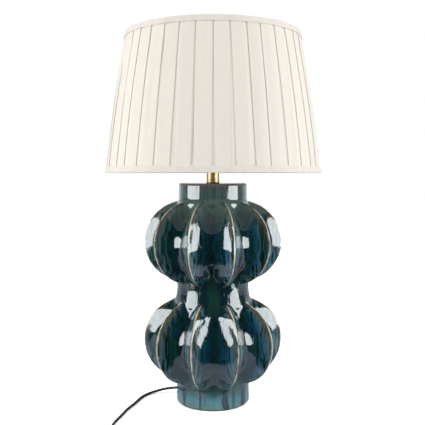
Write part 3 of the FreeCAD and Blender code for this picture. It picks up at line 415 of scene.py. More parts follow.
def glaze_material():
    """Reactive glaze: runs, pools and streaks in the flutes, cream ridges, a dripped foot, and
    painted reflections of the bright backdrop beside the ridges.
    """
    glaze = settings("lamp_glaze")
    made, tree, shader = material("Reactive glaze", {
        "Base Color": glaze.teal, "Roughness": 0.05, "IOR": 1.55, "Coat Weight": 1.0,
        "Coat Roughness": 0.02, "Coat IOR": 1.6})

    step, times = partial(step_between, tree), partial(multiply, tree)

    def runs(across, down, shift=0.0):
        return placed_group(tree, "Glaze runs", Across=across, Down=down, Shift=shift)["Mask"]

    def layered(base, layers):
        for mask, tint in layers:
            base = mixed(tree, mask, base, tint)
        return base

    place = add(tree, "TexCoord").outputs["Object"]
    split = add(tree, "SeparateXYZ", {"Vector": place}).outputs
    height = split["Z"]
    lean = point_value(tree, "lean")
    wide, narrow = runs(60.0, 1.6), runs(170.0, 3.5, 4.0)
    fine, patches = runs(420.0, 9.0, 9.0), runs(14.0, 7.0, 2.0)
    ragged, slow, dots = cloud(tree, 110.0, 2.0), cloud(tree, 42.0, 1.0), cloud(tree, 330.0, 1.0)
    side = calc(tree, "ADD", point_value(tree, "across"),
                calc(tree, "MULTIPLY_ADD", ragged, 0.06, -0.03))
    wavy_side = calc(tree, "ADD", side, calc(tree, "MULTIPLY_ADD", slow, 0.55, -0.27))
    level = calc(tree, "MULTIPLY_ADD", slow, 0.05, height)
    neck = step(height, 0.392, 0.425)

    body = ramp(tree, wide, [(0.0, glaze.deep), (0.28, glaze.teal), (0.46, glaze.deep),
                             (0.66, glaze.green), (0.8, glaze.teal), (1.0, glaze.deep)])
    body = layered(body, [
        (times(patches, step(narrow, 0.15, 0.75), step(split["X"], -0.12, 0.03),
               step(lean, -0.6, 0.4)), glaze.blue),
        (times(step(side, 0.66, 0.05), 0.6), glaze.deep),
        (times(fine, 0.45), glaze.deep),
        (times(step(height, 0.362, 0.412), 0.85), glaze.shoulder),
        # Pale blue streaks on both sides of each ridge, in part a painted reflection of the
        # bright backdrop
        (times(step(side, 0.58, 0.95), step(narrow, 0.25, 0.85), 0.8), glaze.flank),
        (times(step(lean, 0.72, 0.98), step(point_value(tree, "rise"), -0.35, 0.75),
               step(narrow, -0.5, 0.7)), glaze.tan),
        (step(side, 0.935, 0.97), glaze.tan),
        # Painted reflection of the white backdrop: pale streaks on the side of each ridge turned
        # out from the middle of the view
        (times(step(lean, -0.2, -0.58), step(fine, -0.3, 0.9), 0.62), glaze.pale),
        (times(step(side, 0.953, 0.982), step(slow, 0.22, 0.52)), glaze.cream),
    ])
    core = ramp(tree, step_between(tree, height, 0.0, CORE_HEIGHT, "LINEAR"), CORE_BANDS)
    core = layered(core, [
        (times(fine, 0.14), MISTY_VIOLET),
        (times(fine, neck, 0.55), NECK_STREAK),
        (times(narrow, 0.22), DARK_GREEN),
        (times(narrow, step(height, 0.425, 0.45), 0.45), MAUVE),
        (times(step(narrow, 0.45, 0.95), neck, 0.45), GREY_GREEN),
        (times(step(wavy_side, 0.68, 0.78), step(height, 0.07, 0.045), step(wide, 0.0, 0.4),
               step(level, 0.022, 0.034)), glaze.slate),
        (times(step(wide, 0.78, 1.0), step(height, 0.06, 0.03), step(level, 0.026, 0.042)),
         glaze.slate),
        (times(step(side, 0.3, 0.62), step(height, 0.18, 0.205), step(height, 0.27, 0.255),
               step(narrow, -0.3, 0.6), 0.75), WAIST_BLUE),
        (times(step(dots, 0.64, 0.7), step(height, 0.022, 0.008)), glaze.tan),
    ])
    feed(tree, shader["Base Color"], mixed(tree, point_value(tree, "core"), body, core))
    wear = placed_group(tree, "Handling wear", Scale=40.0, Low=0.03, High=0.09)
    feed(tree, shader["Roughness"], wear["Roughness"])
    ripples = calc(tree, "MULTIPLY_ADD", ragged, 0.4, slow)
    bump(tree, shader, calc(tree, "MULTIPLY_ADD", narrow, 0.16, ripples), 0.45, 0.0022)
    return made


# ---- gourds

# Ridges in degrees to the right of the front, a little uneven as on a hand-finished mould
LOWER_RIDGES = (20.0, 55.2, 92.6, 127.4, 164.5, 199.6, 236.9, 271.6, 309.4, 343.0)
UPPER_RIDGES = (17.2, 51.4, 89.8, 124.3, 161.2, 197.3, 232.6, 269.5, 306.2, 340.6)
# The core between the gourds: heights over the table, and sizes of its edges and flares
FOOT_TOP_Z = 0.04
FOOT_EDGE = 0.002
WAIST_FLARE = 0.006
WAIST_FLARE_LOW_Z = 0.15
WAIST_FLARE_TOP_Z = 0.242
WAIST_FLARE_H = 0.036
NECK_FLARE_Z = 0.411
NECK_FLARE_H = 0.014
NECK_EDGE = 0.005
CORE_BLEND = 0.012
FLUTE_STEPS = 32
LEVEL_STEP = 0.002
RISE_REACH = 0.1
# Flat ends of the body: how far in from neck and foot they start, and their closed middle
END_INSETS = (0.0075, 0.004)
END_MIDDLE_R = 0.006
# Unevenness of the surface: share, waves per metre across and up, and shift
UNEVENNESS = ((1.0, 45, 16, 0), (0.45, 130, 45, 7))


def rounding(depth, radius):
    """How far a rounded edge draws in at a depth past where its curve starts."""
    depth = np.clip(depth, 0, radius)
    return radius - np.sqrt(radius ** 2 - depth ** 2)


def core_radius(z, sizes, foot_z, top_z):
    """Foot, waist and neck of the body between the gourds."""
    flare = np.clip((z - NECK_FLARE_Z) / NECK_FLARE_H, 0, 1)
    neck = sizes.neck_radius - sizes.waist_radius
    radius = np.where(z < FOOT_TOP_Z, sizes.foot_radius, sizes.waist_radius)
    radius = np.where(z > NECK_FLARE_Z,
                      sizes.waist_radius + neck * (1 - np.cos(pi * flare)) / 2, radius)
    spread = np.clip((WAIST_FLARE_TOP_Z - z) / WAIST_FLARE_H, 0, 1)
    radius = radius + np.where(z > WAIST_FLARE_LOW_Z, WAIST_FLARE * spread ** 2, 0)
    return (radius - rounding(z - (top_z - NECK_EDGE), NECK_EDGE)
            - rounding(foot_z + FOOT_EDGE - z, FOOT_EDGE))


def ridge_lines(degrees, across):
    """Directions of the points of each flute at one level, from ridge to ridge."""
    line = np.radians(np.array(degrees + (degrees[0] + 360,)))
    middle = (line[:-1] + line[1:]) / 2
    spread = (line[1:] - line[:-1]) / 2
    return FRONT + middle[:, None] + spread[:, None] * across[None, :]


def gourd_body(sizes, foot_z, top_z):
    """Grid of points of the ceramic body, with the values that the glaze reads."""
    half = pi / sizes.flutes
    across = np.sin(pi / 2 * np.linspace(-1, 1, FLUTE_STEPS, endpoint=False))
    levels = list(foot_z + FOOT_EDGE * (1 - np.cos(np.radians((0, 25, 50, 75)))))
    levels += list(np.arange(foot_z + FOOT_EDGE + 0.001, top_z - NECK_EDGE - 0.001, LEVEL_STEP))
    levels += list(top_z - NECK_EDGE + NECK_EDGE * np.sin(np.radians((0, 20, 40, 60, 75, 90))))
    z = np.array(levels)[:, None, None]
    side = np.abs(across)[None, None, :]
    core = core_radius(z, sizes, foot_z, top_z) + 0 * side
    radius = core.copy()
    on_core = np.ones_like(core)
    rise = np.zeros_like(core)
    for level in (sizes.lower_level, sizes.upper_level):
        dz = z - level
        inside = np.abs(dz) < sizes.ridge_arc
        arc = np.sqrt(np.maximum(sizes.ridge_arc ** 2 - dz ** 2, 0))
        ridge = sizes.ridge_radius - sizes.ridge_arc + arc
        drop = (dz / sizes.valley_end_height) ** 2
        valley = between(sizes.valley_radius, sizes.valley_end_radius, drop)
        end = np.minimum(drop, 1) ** 2
        circle = between(sizes.hollow, sizes.end_hollow, end)
        soft = sizes.crown / (half * ridge)
        near = np.clip(1 + soft - np.sqrt((1 - side) ** 2 + soft ** 2), 0, 1)
        climb = (1 - np.sqrt(1 - circle * near ** 2)) / (1 - np.sqrt(1 - circle))
        pointed = between(valley, ridge, climb ** between(1, sizes.end_power, end))
        centre = (ridge ** 2 - valley ** 2) / 2 / (ridge * cos(half) - valley)
        depth = (centre - valley) ** 2 - (centre * np.sin(half * near)) ** 2
        arched = centre * np.cos(half * near) - np.sqrt(np.maximum(depth, 0))
        mix = np.minimum(np.abs(dz) / sizes.arc_height, 1)
        lobe = between(arched, pointed, mix ** 2 * (3 - 2 * mix))
        lap = np.maximum(sizes.fillet - np.abs(core - lobe), 0)
        radius = np.where(inside, np.maximum(core, lobe) + lap ** 2 / sizes.fillet / 4, radius)
        on_core = np.where(inside, np.clip(0.5 + (core - lobe) / CORE_BLEND, 0, 1), on_core)
        rise = np.where(np.abs(dz) < RISE_REACH, dz / sizes.ridge_arc, rise)

    waist = sizes.upper_level - sizes.lower_level - 2 * sizes.ridge_arc
    share = np.clip((z - sizes.lower_level - sizes.ridge_arc) / waist, 0, 1)
    lower, upper = (ridge_lines(ridges, across)[None] for ridges in (LOWER_RIDGES, UPPER_RIDGES))
    angle = between(lower, upper, share * share * (3 - 2 * share))
    shape = angle.shape
    across = across[None, None, :]
    # lean: across, mirrored at the middle of the view, so it tells the side of a ridge turned to
    # the middle from the side turned out; the painted reflection beside the ridges uses it
    values = {"across": np.abs(across), "core": on_core, "rise": rise,
              "lean": across * np.where(np.cos(angle) >= 0, 1, -1)}
    values = {name: np.broadcast_to(value, shape).ravel() for name, value in values.items()}
    points = np.stack([radius * np.cos(angle), radius * np.sin(angle),
                       np.broadcast_to(z, shape)], axis=-1).reshape(-1, 3)
    return points, values, shape[0], shape[1] * shape[2]


def uneven(points, amount):
    """Pushes points in and out by a soft noise, as a hand-finished glaze surface is."""
    moved = points.copy()
    for index, (x, y, z) in enumerate(points):
        swell = sum(share * noise.noise(Vector((x * across + shift, y * across, z * up)))
                    for share, across, up, shift in UNEVENNESS)
        moved[index, :2] *= 1 + amount * swell / max(hypot(x, y), 0.02)
    return moved


class LAMP_OT_gourds(bpy.types.Operator):
    """Glazed double gourd body"""
    bl_idname = "lamp.gourds"
    bl_label = "Gourds"

    def execute(self, context):
        sizes = settings("lamp_gourds")
        low, high = node_at("ceramic_body")
        points, values, rows, columns = gourd_body(sizes, low.z, high.z)
        points = uneven(points, sizes.wobble)
        faces = ring_faces(rows, columns)
        rings = [(sizes.neck_radius - END_INSETS[0], high.z), (END_MIDDLE_R, high.z),
                 (sizes.foot_radius - END_INSETS[1], low.z), (END_MIDDLE_R, low.z)]
        angles = np.arctan2(points[:columns, 1], points[:columns, 0])
        ends = [(r * cos(a), r * sin(a), z) for r, z in rings for a in angles]
        neck_ring, neck_middle, foot_ring, foot_middle = (
            (rows + ring) * columns for ring in range(len(rings)))
        for lower, upper in (((rows - 1) * columns, neck_ring), (neck_ring, neck_middle),
                             (foot_ring, 0), (foot_middle, foot_ring)):
            faces += row_faces(lower, upper, columns)
        faces.append(tuple(range(neck_middle, neck_middle + columns)))
        faces.append(tuple(range(foot_middle + columns - 1, foot_middle - 1, -1)))
        body = mesh_piece("glazed_gourds", list(points) + ends, faces, glaze_material(),
                          "root")
        for name, value in values.items():
            point_values(body, name, np.append(value, np.full(len(ends), name == "core")))
        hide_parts("ceramic_body")
        return {"FINISHED"}


# ---- shade

# Edge of a pleat beside a gap: tucks and metres past the edge, share of the depth, share of the
# painted gap shade
PLEAT_EDGE = (
    (0, 0.0, 1.0, 1.0), (1, 0.0, 1.0, 1.0),
    (1, 0.0004, 0.8, 1.0), (1, 0.0, 0.6, 1.0),
    (0, 0.001, 0.52, 0.9), (0, 0.0001, 0.42, 0.5),
    (0, 0.0, 0.25, 0.1), (0, 0.0003, 0.12, 0.0),
    (0, 0.0012, 0.06, 0.0), (0, 0.004, 0.01, 0.0),
)
PLEAT_SEED = 38
PLEAT_SHIFT = 0.05
GAP_WIDTHS = (0.55, 1.35)
GAP_POWER = 0.8
CLOTH_ROWS = 36
CLOTH_INSET = 0.0004
# Crookedness of a pleat's edge: how far it leans, how fast that fades upward, how far it reaches
EDGE_LEAN = 0.0012
EDGE_FADE = 7
EDGE_REACH = 0.004
# Swelling of the cloth: height, waves per metre along a pleat and up it, shift per pleat
SWELLS = ((0.0016, 70, 3, 3.7), (0.0003, 240, 12, 5.1))
SWELL_FADE = 0.12
# Folded bands: height as a share of the solid's, cloth, lift off the pleats, inner leg, edges
BAND_SHARE = 0.82
BAND_THICK = 0.0011
BAND_PROUD = 0.0003
BAND_INSIDE = 0.0112
BAND_LEG = 0.0085
BAND_SOFT = 0.0003
BAND_RIPPLE = 0.00018
BAND_STEPS = 9
BAND_COLUMNS = 240


def pleat_section(gap, next_gap, depth, tuck, pitch):
    """One pleat as (distance along, depth, share of painted gap shade) from the middle of a gap
    to the next one.
    """
    def edge(half):
        return [(0.0, depth, 1.0)] + [(half + tuck * tucks + past, depth * share, fold)
                                      for tucks, past, share, fold in PLEAT_EDGE]
    start, end = edge(gap / 2), edge(next_gap / 2)
    first, last = start[-1][0], pitch - end[-1][0]
    middle = [(between(first, last, share), 0.0, 0.0) for share in (0.2, 0.4, 0.6, 0.8)]
    return start + middle + [(pitch - x, d, f) for x, d, f in end[:0:-1]]


def cloth_material(sizes):
    """Ivory cloth, each pleat in its own tone, with a warmer painted shade in the gaps between
    pleats.
    """
    made, tree, shader = material("Pleated cloth", {
        "Base Color": sizes.cloth, "Roughness": 0.85, "Specular IOR Level": 0.25,
        "Sheen Weight": 0.15})
    weave = placed_group(tree, "Plain weave", Threads=2600.0, Slub=45.0)
    warm = toned(sizes.cloth, 1.01, 0.99, 0.985)
    cool = toned(sizes.cloth, 0.985, 0.99, 0.985)
    panel = mixed(tree, step_between(tree, point_value(tree, "tint"), -1.0, 1.0), cool, warm)
    panel = mixed(tree, multiply(tree, weave["Tone"], 0.25), panel, toned(sizes.cloth, 0.95))
    # Painted shade: the gaps between pleats take the warmer gap colour
    feed(tree, shader["Base Color"], mixed(tree, point_value(tree, "fold"), panel, sizes.fold))
    bump(tree, shader, weave["Height"], 0.2, 0.00015)
    return made


class LAMP_OT_shade(bpy.types.Operator):
    """Pleated cloth of the shade"""
    bl_idname = "lamp.shade"
    bl_label = "Pleated shade"

    def execute(self, context):
        sizes = settings("lamp_shade")
        low, high = node_at("shade_cover")
        binding_low = node_at("bottom_binding")[0].z
        binding_high = node_at("top_binding")[1].z
        pleats = range(sizes.pleats)
        half_pitch = pi / sizes.pleats
        rng = random.Random(PLEAT_SEED)
        centres = [FRONT + (k + rng.uniform(-PLEAT_SHIFT, PLEAT_SHIFT)) * 2 * half_pitch
                   for k in pleats]
        crooked = [rng.uniform(-1, 1) for _ in pleats]
        widths = [rng.uniform(*GAP_WIDTHS) for _ in pleats]
        tones = [rng.uniform(-1, 1) for _ in pleats]
        for values in (centres, widths):
            values.append(values[0])
        centres[-1] += 2 * pi
        points, gap_shades, tints = [], [], []
        for row in range(CLOTH_ROWS):
            z = between(low.z, high.z, row / (CLOTH_ROWS - 1))
            share = (z - binding_low) / (binding_high - binding_low)
            radius = between(sizes.bottom_radius, sizes.top_radius, share)
            radius += sizes.belly * max(sin(pi * min(max(share, 0), 1)), 0)
            gap = between(sizes.gap_bottom, sizes.gap_top, share ** GAP_POWER)
            tuck = sizes.tuck + (sizes.bottom_radius - radius) * half_pitch / 2
            fade = min(share, 1 - share, SWELL_FADE) / SWELL_FADE if 0 < share < 1 else 0
            for k in pleats:
                pitch = (centres[k + 1] - centres[k]) * radius
                lean = crooked[k] * EDGE_LEAN * exp(-share * EDGE_FADE)
                section = pleat_section(gap * widths[k], gap * widths[k + 1], sizes.depth,
                                        tuck, pitch)
                for x, depth, fold in section:
                    near = exp(-(min(x, pitch - x) / EDGE_REACH) ** 2)
                    angle = centres[k] + (x + lean * near) / radius
                    swell = fade * sum(
                        size * noise.noise(Vector((x * along, z * up, k * shift)))
                        for size, along, up, shift in SWELLS)
                    r = radius - depth + swell - CLOTH_INSET
                    points.append((r * cos(angle), r * sin(angle), z))
                    gap_shades.append(fold)
                    tints.append(tones[k])
        faces = ring_faces(CLOTH_ROWS, len(points) // CLOTH_ROWS)
        cover = mesh_piece("pleated_cloth", points, faces, cloth_material(sizes),
                           "shade")
        # Share of the painted warm shade at each point, full in the pleat gaps
        point_values(cover, "fold", gap_shades)
        point_values(cover, "tint", tints)
        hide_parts("shade_cover")
        return {"FINISHED"}


def band_outline(name, edge_up):
    """Folded cloth band round an edge: outer leg, rolled edge, inner leg, and back."""
    sizes = settings("lamp_shade")
    low, high = node_at(name)
    height = (high.z - low.z) * BAND_SHARE
    edge, sign = (high.z, -1) if edge_up else (low.z, 1)
    bottom_z = node_at("bottom_binding")[0].z
    slope = (sizes.top_radius - sizes.bottom_radius) / (node_at("top_binding")[1].z - bottom_z)

    def cone(up):  # outside of the cloth at a distance from the edge
        return sizes.bottom_radius + slope * (edge + sign * up - bottom_z)

    outer, inner = cone(0) + BAND_PROUD, cone(0) - BAND_INSIDE
    outer_end, inner_end = cone(height) + BAND_PROUD, cone(BAND_LEG) - BAND_INSIDE
    corners = []
    for step in range(BAND_STEPS):
        up = between(height, 0.001, step / (BAND_STEPS - 1))
        soft = BAND_SOFT * exp(-step * 1.4)
        corners.append((cone(up) + BAND_PROUD + BAND_THICK - soft, up))
    corners += [
        (outer + BAND_THICK * 0.7, BAND_SOFT), (outer + BAND_THICK * 0.3, 0.0),
        (inner + 0.0004, 0.0), (inner, 0.0004), (inner_end, BAND_LEG),
        (inner_end + 0.0007, BAND_LEG + BAND_SOFT), (inner_end + BAND_THICK, BAND_LEG),
        (inner + BAND_THICK, BAND_THICK), (outer, BAND_THICK), (outer_end, height),
        (outer_end + BAND_THICK * 0.5, height + BAND_SOFT),
    ]
    return [(radius, edge + sign * up) for radius, up in corners]


class LAMP_OT_bands(bpy.types.Operator):
    """Cloth bands folded over the shade's two edges"""
    bl_idname = "lamp.bands"
    bl_label = "Bands"

    def execute(self, context):
        binding = settings("lamp_shade").binding
        finish = woven_material("Binding cloth", binding, toned(binding, 0.93), 2200.0, 0.1)
        angles = np.linspace(0, 2 * pi, BAND_COLUMNS, endpoint=False)
        for name, edge_up in (("top_binding", True), ("bottom_binding", False)):
            outline = band_outline(name, edge_up)
            faces = ring_faces(len(outline), BAND_COLUMNS)
            faces += row_faces((len(outline) - 1) * BAND_COLUMNS, 0, BAND_COLUMNS)
            points = []
            for radius, z in outline:
                for angle in angles:
                    way = Vector((cos(angle), sin(angle), 0))
                    ripple = noise.noise(way * 14 + Vector((0, 0, z * 90)))
                    points.append(way * (radius + BAND_RIPPLE * ripple) + Vector((0, 0, z)))
            band = mesh_piece(name.replace("binding", "band"), points, faces, finish,
                              "shade")
            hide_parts(name)
        return {"FINISHED"}


class LAMP_OT_shade_frame(bpy.types.Operator):
    """Lining, wire rings and spider"""
    bl_idname = "lamp.shade_frame"
    bl_label = "Shade frame"

    def execute(self, context):
        dress(["shade_lining"], worn_material("White lining", (0.86, 0.84, 0.79), 0.45, 0.6,
                                              scale=60.0, grain=0.1))
        dress(["top_ring", "bottom_ring", "shade_spider"],
              worn_material("Coated wire", (0.84, 0.84, 0.81), 0.3, 0.45, scale=200.0))
        return {"FINISHED"}


# ---- metal, holder and bulb

NICKEL = (0.62, 0.6, 0.56)


def brass_material():
    """Satin brass with the fine rings of a turned tube."""
    made, tree, shader = material("Satin brass", {"Base Color": (0.72, 0.52, 0.27),
                                                  "Roughness": 0.4, "Metallic": 1.0})
    place = add(tree, "TexCoord").outputs["Object"]
    stretched = add(tree, "Mapping", {"Vector": place, "Scale": (40.0, 40.0, 900.0)})
    turned = add(tree, "TexNoise", {"Vector": stretched.outputs["Vector"], "Scale": 1.0,
                                    "Detail": 3.0})
    wear = placed_group(tree, "Handling wear", Scale=90.0, Low=0.36, High=0.46)
    feed(tree, shader["Roughness"], wear["Roughness"])
    feed(tree, shader["Base Color"],
         mixed(tree, wear["Grain"], (0.68, 0.48, 0.24), (0.8, 0.58, 0.31)))
    bump(tree, shader, turned.outputs["Fac"], 0.15, 0.0001)
    return made


class LAMP_OT_metal(bpy.types.Operator):
    """Brass neck, rod, nuts, washers and the felt under the foot"""
    bl_idname = "lamp.metal"
    bl_label = "Neck and fixings"

    def execute(self, context):
        dress(["neck_tube", "neck_cap", "centre_contact", "terminal_screws"], brass_material())
        dress(["threaded_rod", "lower_washer", "spring_washer", "lower_nut", "grub_screw",
               "rocker_pin", "switch_screws"],
              worn_material("Zinc-plated steel", (0.55, 0.55, 0.53), 0.25, 0.45, metallic=1.0))
        dress(["rod_bush"], worn_material("Natural nylon", (0.78, 0.76, 0.7), 0.4, 0.5))
        dress(["neck_gasket", "cord_grommet"],
              worn_material("Black rubber", (0.018, 0.018, 0.019), 0.55, 0.75, grain=0.2))
        dress(["felt_pad"], woven_material("Felt", (0.03, 0.042, 0.036), (0.018, 0.026, 0.022),
                                           900.0, 0.6))
        return {"FINISHED"}


class LAMP_OT_holder(bpy.types.Operator):
    """Lampholder, its insulator and screw shell, and the clamp ring"""
    bl_idname = "lamp.holder"
    bl_label = "Lampholder"

    def execute(self, context):
        dress(["holder_cap", "holder_skirt", "clamp_ring"],
              worn_material("Black thermoset", (0.016, 0.016, 0.017), 0.22, 0.38, scale=90.0))
        dress(["holder_insulator"], worn_material("Steatite", (0.8, 0.78, 0.72), 0.5, 0.65))
        dress(["screw_shell"], worn_material("Nickel plate", NICKEL, 0.2, 0.3, metallic=1.0))
        return {"FINISHED"}


class LAMP_OT_bulb(bpy.types.Operator):
    """Opal bulb with its collar and screw cap"""
    bl_idname = "lamp.bulb"
    bl_label = "Bulb"

    def execute(self, context):
        dress(["bulb_globe"],
              worn_material("Opal diffuser", (0.86, 0.86, 0.83), 0.3, 0.4, scale=50.0))
        dress(["bulb_collar"], worn_material("White moulding", (0.8, 0.8, 0.78), 0.35, 0.5))
        dress(["bulb_insulator"], worn_material("Black glass", (0.01, 0.01, 0.011), 0.1, 0.2))
        dress(["bulb_contact"],
              worn_material("Tinned contact", (0.55, 0.55, 0.56), 0.3, 0.5, metallic=1.0))
        dress(["bulb_cap"], worn_material("Nickel cap", NICKEL, 0.2, 0.35, metallic=1.0))
        return {"FINISHED"}


# ---- cord

# The cord's route in metres: out of the foot, over the table to the switch
LEAD_POINTS = (
    (-0.07466, 0.02673, 0.015), (-0.101, 0.0355, 0.0105),
    (-0.124, 0.035, 0.0038), (-0.142, 0.021, 0.0026),
    (-0.153, -0.003, 0.0026), (-0.16, -0.033, 0.0026),
    (-0.1715, -0.065, 0.0026), (-0.1785, -0.101, 0.0026),
    (-0.188, -0.138, 0.0026), (-0.1895, -0.175, 0.0026),
    (-0.178, -0.204, 0.0036), (-0.1609, -0.221, 0.0075),
    (-0.1409, -0.2224, 0.0085),
)
# Through the switch and on to the coil
TAIL_POINTS = (
    (-0.09506, -0.2256, 0.0085), (-0.0751, -0.227, 0.0075),
    (-0.054, -0.237, 0.0041), (-0.0425, -0.259, 0.0026),
)
# From the coil into the plug
END_POINTS = (
    (-0.099, -0.3245, 0.0044),
    (-0.11708, -0.32788, 0.00685),
    (-0.14129, -0.32661, 0.00685),
)
COIL_CENTRE = (-0.074, -0.292)
COIL_START = radians(8)
COIL_POINTS_PER_TURN = 14
# Distance between two turns, in cord diameters
COIL_SPACING = 1.05
# Places of the turns in the coil's section: (columns out from the middle, layer)
COIL_ORDER = ((0, 0), (-1, 0), (-1, 1), (-1, 2), (0, 2), (0, 1), (1, 1), (1, 0), (0.4, 0.2))
TIE_HALF_WIDTH = 0.005
TIE_THICK = 0.0008
TIE_CORNER = 0.0035
TIE_STEPS = 32
TIE_AT = radians(158)


def coil_points(cord):
    """Turns that lie beside and on top of one another, each ending in the place of the next."""
    spacing = cord.diameter * COIL_SPACING
    points = []
    for step in range(int(cord.coil_turns * COIL_POINTS_PER_TURN) + 1):
        turn = step / COIL_POINTS_PER_TURN
        place = int(turn)
        move = max((turn - place) * 4 - 3, 0)
        column, layer = (between(start, end, move) for start, end
                         in zip(COIL_ORDER[place], COIL_ORDER[place + 1]))
        radius = cord.coil_radius + spacing * column
        angle = COIL_START - 2 * pi * turn
        points.append((COIL_CENTRE[0] + radius * cos(angle),
                       COIL_CENTRE[1] + radius * sin(angle),
                       cord.diameter * 0.52 + spacing * layer))
    return points


def coil_tie(cord):
    """Soft strip wrapped once round the coil's turns."""
    inside = cord.diameter * COIL_SPACING * 1.5
    half_section = inside + TIE_THICK
    outward = Vector((cos(TIE_AT), sin(TIE_AT), 0))
    along = Vector((-sin(TIE_AT), cos(TIE_AT), 0))
    centre = Vector((*COIL_CENTRE, half_section + 0.0001)) + outward * cord.coil_radius
    points = []
    for step in range(TIE_STEPS):
        turn = 2 * pi * (step + 0.5) / TIE_STEPS
        for size, side in ((half_section, -1), (half_section, 1), (inside, 1), (inside, -1)):
            out, up = ((size - TIE_CORNER) * max(min(way * 1.4, 1), -1) + TIE_CORNER * way
                       for way in (cos(turn), sin(turn)))
            edge = side * TIE_HALF_WIDTH
            points.append(centre + outward * out + Vector((0, 0, up)) + along * edge)
    faces = []
    for step in range(TIE_STEPS):
        faces += row_faces(step * 4, (step + 1) % TIE_STEPS * 4, 4)
    cloth = woven_material("Tie strip", (0.02, 0.02, 0.022), (0.012, 0.012, 0.013), 1400.0, 0.4)
    return mesh_piece("coil_tie", points, faces, cloth, "root", smooth=False)


class LAMP_OT_cord(bpy.types.Operator):
    """Black cord with its switch, spare coil and plug"""
    bl_idname = "lamp.cord"
    bl_label = "Cord"

    def execute(self, context):
        cord = settings("lamp_cord")
        route = [*LEAD_POINTS, *TAIL_POINTS, *coil_points(cord), *END_POINTS]
        curve = bpy.data.curves.new("flexible_cord", "CURVE")
        curve.dimensions = "3D"
        curve.bevel_depth = 1.0
        curve.bevel_resolution = 4
        curve.resolution_u = 5
        spline = curve.splines.new("NURBS")
        spline.points.add(len(route) - 1)
        for point, place in zip(spline.points, route):
            point.co = (*place, 1)
            point.radius = cord.diameter / 2
        spline.order_u = 3
        spline.use_endpoint_u = True
        flex = new_object("flexible_cord", curve)
        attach(flex, "root")
        sheath = worn_material("Cord sheath", cord.colour, 0.5, 0.68, scale=300.0, grain=0.1)
        flex.data.materials.append(sheath)
        dress(["cord_inside"], sheath)
        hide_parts("cord_lead", "cord_tail", "cord_end", "cord_coil")
        dress(["switch_base", "switch_cover", "plug_body", "plug_relief"],
              worn_material("Black moulding", (0.015, 0.015, 0.016), 0.28, 0.42, scale=160.0,
                            grain=0.08))
        dress(["switch_rocker"], worn_material("Rocker", (0.02, 0.02, 0.021), 0.18, 0.3))
        dress(["plug_pins"], worn_material("Nickel pins", NICKEL, 0.2, 0.3, metallic=1.0))
        pieces = ["switch_base", "switch_cover", "switch_rocker", "rocker_pin", "switch_screws",
                  "plug_body", "plug_pins", "plug_relief"]
        [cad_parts[name] for name in pieces] + [coil_tie(cord)]
        return {"FINISHED"}


# ---- camera and stage

FLOOR_MIRRORED = (0.52, 0.58, 0.68)
FLOOR_SEEN = (2.2, 2.2, 2.2)
FLOOR_REACH = 8.0
WHITE = (1.0, 1.0, 1.0)
BOX_COLOUR = (0.93, 0.98, 1.0)
BOX_CORNERS = 32
# Form of a soft box's round top and squarer bottom: powers across and up
BOX_TOP_POWERS = (0.9, 0.9)
BOX_BOTTOM_POWERS = (0.35, 0.6)
LAMP_SIZE = (1.0, 1.6)
LAMP_PLACE = (1.55, -0.75, 0.95)
LAMP_AIM = (0, 0, 0.4)
# What the glaze mirrors, from the front of the studio to its back
BACKDROP = (
    (0.0, (0.01, 0.01, 0.012)), (0.55, (0.02, 0.021, 0.024)),
    (0.68, (0.1, 0.115, 0.125)), (0.8, (0.48, 0.55, 0.6)), (0.94, (0.78, 0.86, 0.9)),
)


class LAMP_OT_camera(bpy.types.Operator):
    """Camera level with the neck, its frame shifted down"""
    bl_idname = "lamp.camera"
    bl_label = "Camera"

    def execute(self, context):
        view = settings("lamp_camera")
        lens = bpy.data.cameras.new("front_camera")
        lens.lens = view.lens
        lens.sensor_width = 36
        lens.shift_y = -view.drop
        lens.shift_x = view.sideways
        camera = new_object("front_camera", lens)
        camera.location = (0, -view.distance, view.height)
        camera.rotation_euler = (pi / 2, 0, 0)
        context.scene.camera = camera
        return {"FINISHED"}


def stage_plane(name, corners, finish):
    plane = new_mesh(name, corners, [tuple(range(len(corners)))], finish)
    return plane


def bare_tree(holder, output):
    """Emptied node tree of a material or world, and the input of its new output."""
    holder.use_nodes = True
    tree = holder.node_tree
    tree.nodes.clear()
    return tree, add(tree, output).inputs["Surface"]


def mixed_shader(tree, factor, first, second):
    return add(tree, "MixShader", {"Fac": factor, 1: first, 2: second}).outputs["Shader"]


def floor_material(stage):
    """White table whose front edge, as the glaze mirrors it, lies just before the foot."""
    made = bpy.data.materials.new("Table")
    tree, surface = bare_tree(made, "OutputMaterial")
    rays = add(tree, "LightPath").outputs
    white = add(tree, "BsdfDiffuse", {
        "Color": mixed(tree, rays["Is Camera Ray"], FLOOR_MIRRORED, FLOOR_SEEN)})
    clear = add(tree, "BsdfTransparent")
    place = add(tree, "NewGeometry").outputs["Position"]
    depth = add(tree, "SeparateXYZ", {"Vector": place}).outputs["Y"]
    before = step_between(tree, depth, stage.table_front + 0.01, stage.table_front - 0.01)
    feed(tree, surface, mixed_shader(tree, multiply(tree, before, rays["Is Glossy Ray"]),
                                     white.outputs["BSDF"], clear.outputs["BSDF"]))
    return made


def studio_world(stage):
    """White behind the lamp, dark in front of it, and an even light on dull surfaces."""
    world = bpy.data.worlds.new("Studio")
    tree, surface = bare_tree(world, "OutputWorld")

    def background(tint, strength):
        return add(tree, "Background", {"Color": tint, "Strength": strength}).outputs[0]

    rays = add(tree, "LightPath").outputs
    way = add(tree, "TexCoord").outputs["Generated"]
    depth = add(tree, "SeparateXYZ", {"Vector": way}).outputs["Y"]
    backdrop = ramp(tree, step_between(tree, depth, -1.0, 1.0, "LINEAR"), BACKDROP)
    lit = mixed_shader(tree, rays["Is Glossy Ray"], background(WHITE, stage.ambient),
                       background(backdrop, 1.0))
    seen = calc(tree, "MAXIMUM", rays["Is Camera Ray"], rays["Is Transmission Ray"])
    feed(tree, surface, mixed_shader(tree, seen, lit, background(WHITE, 1.0)))
    return world


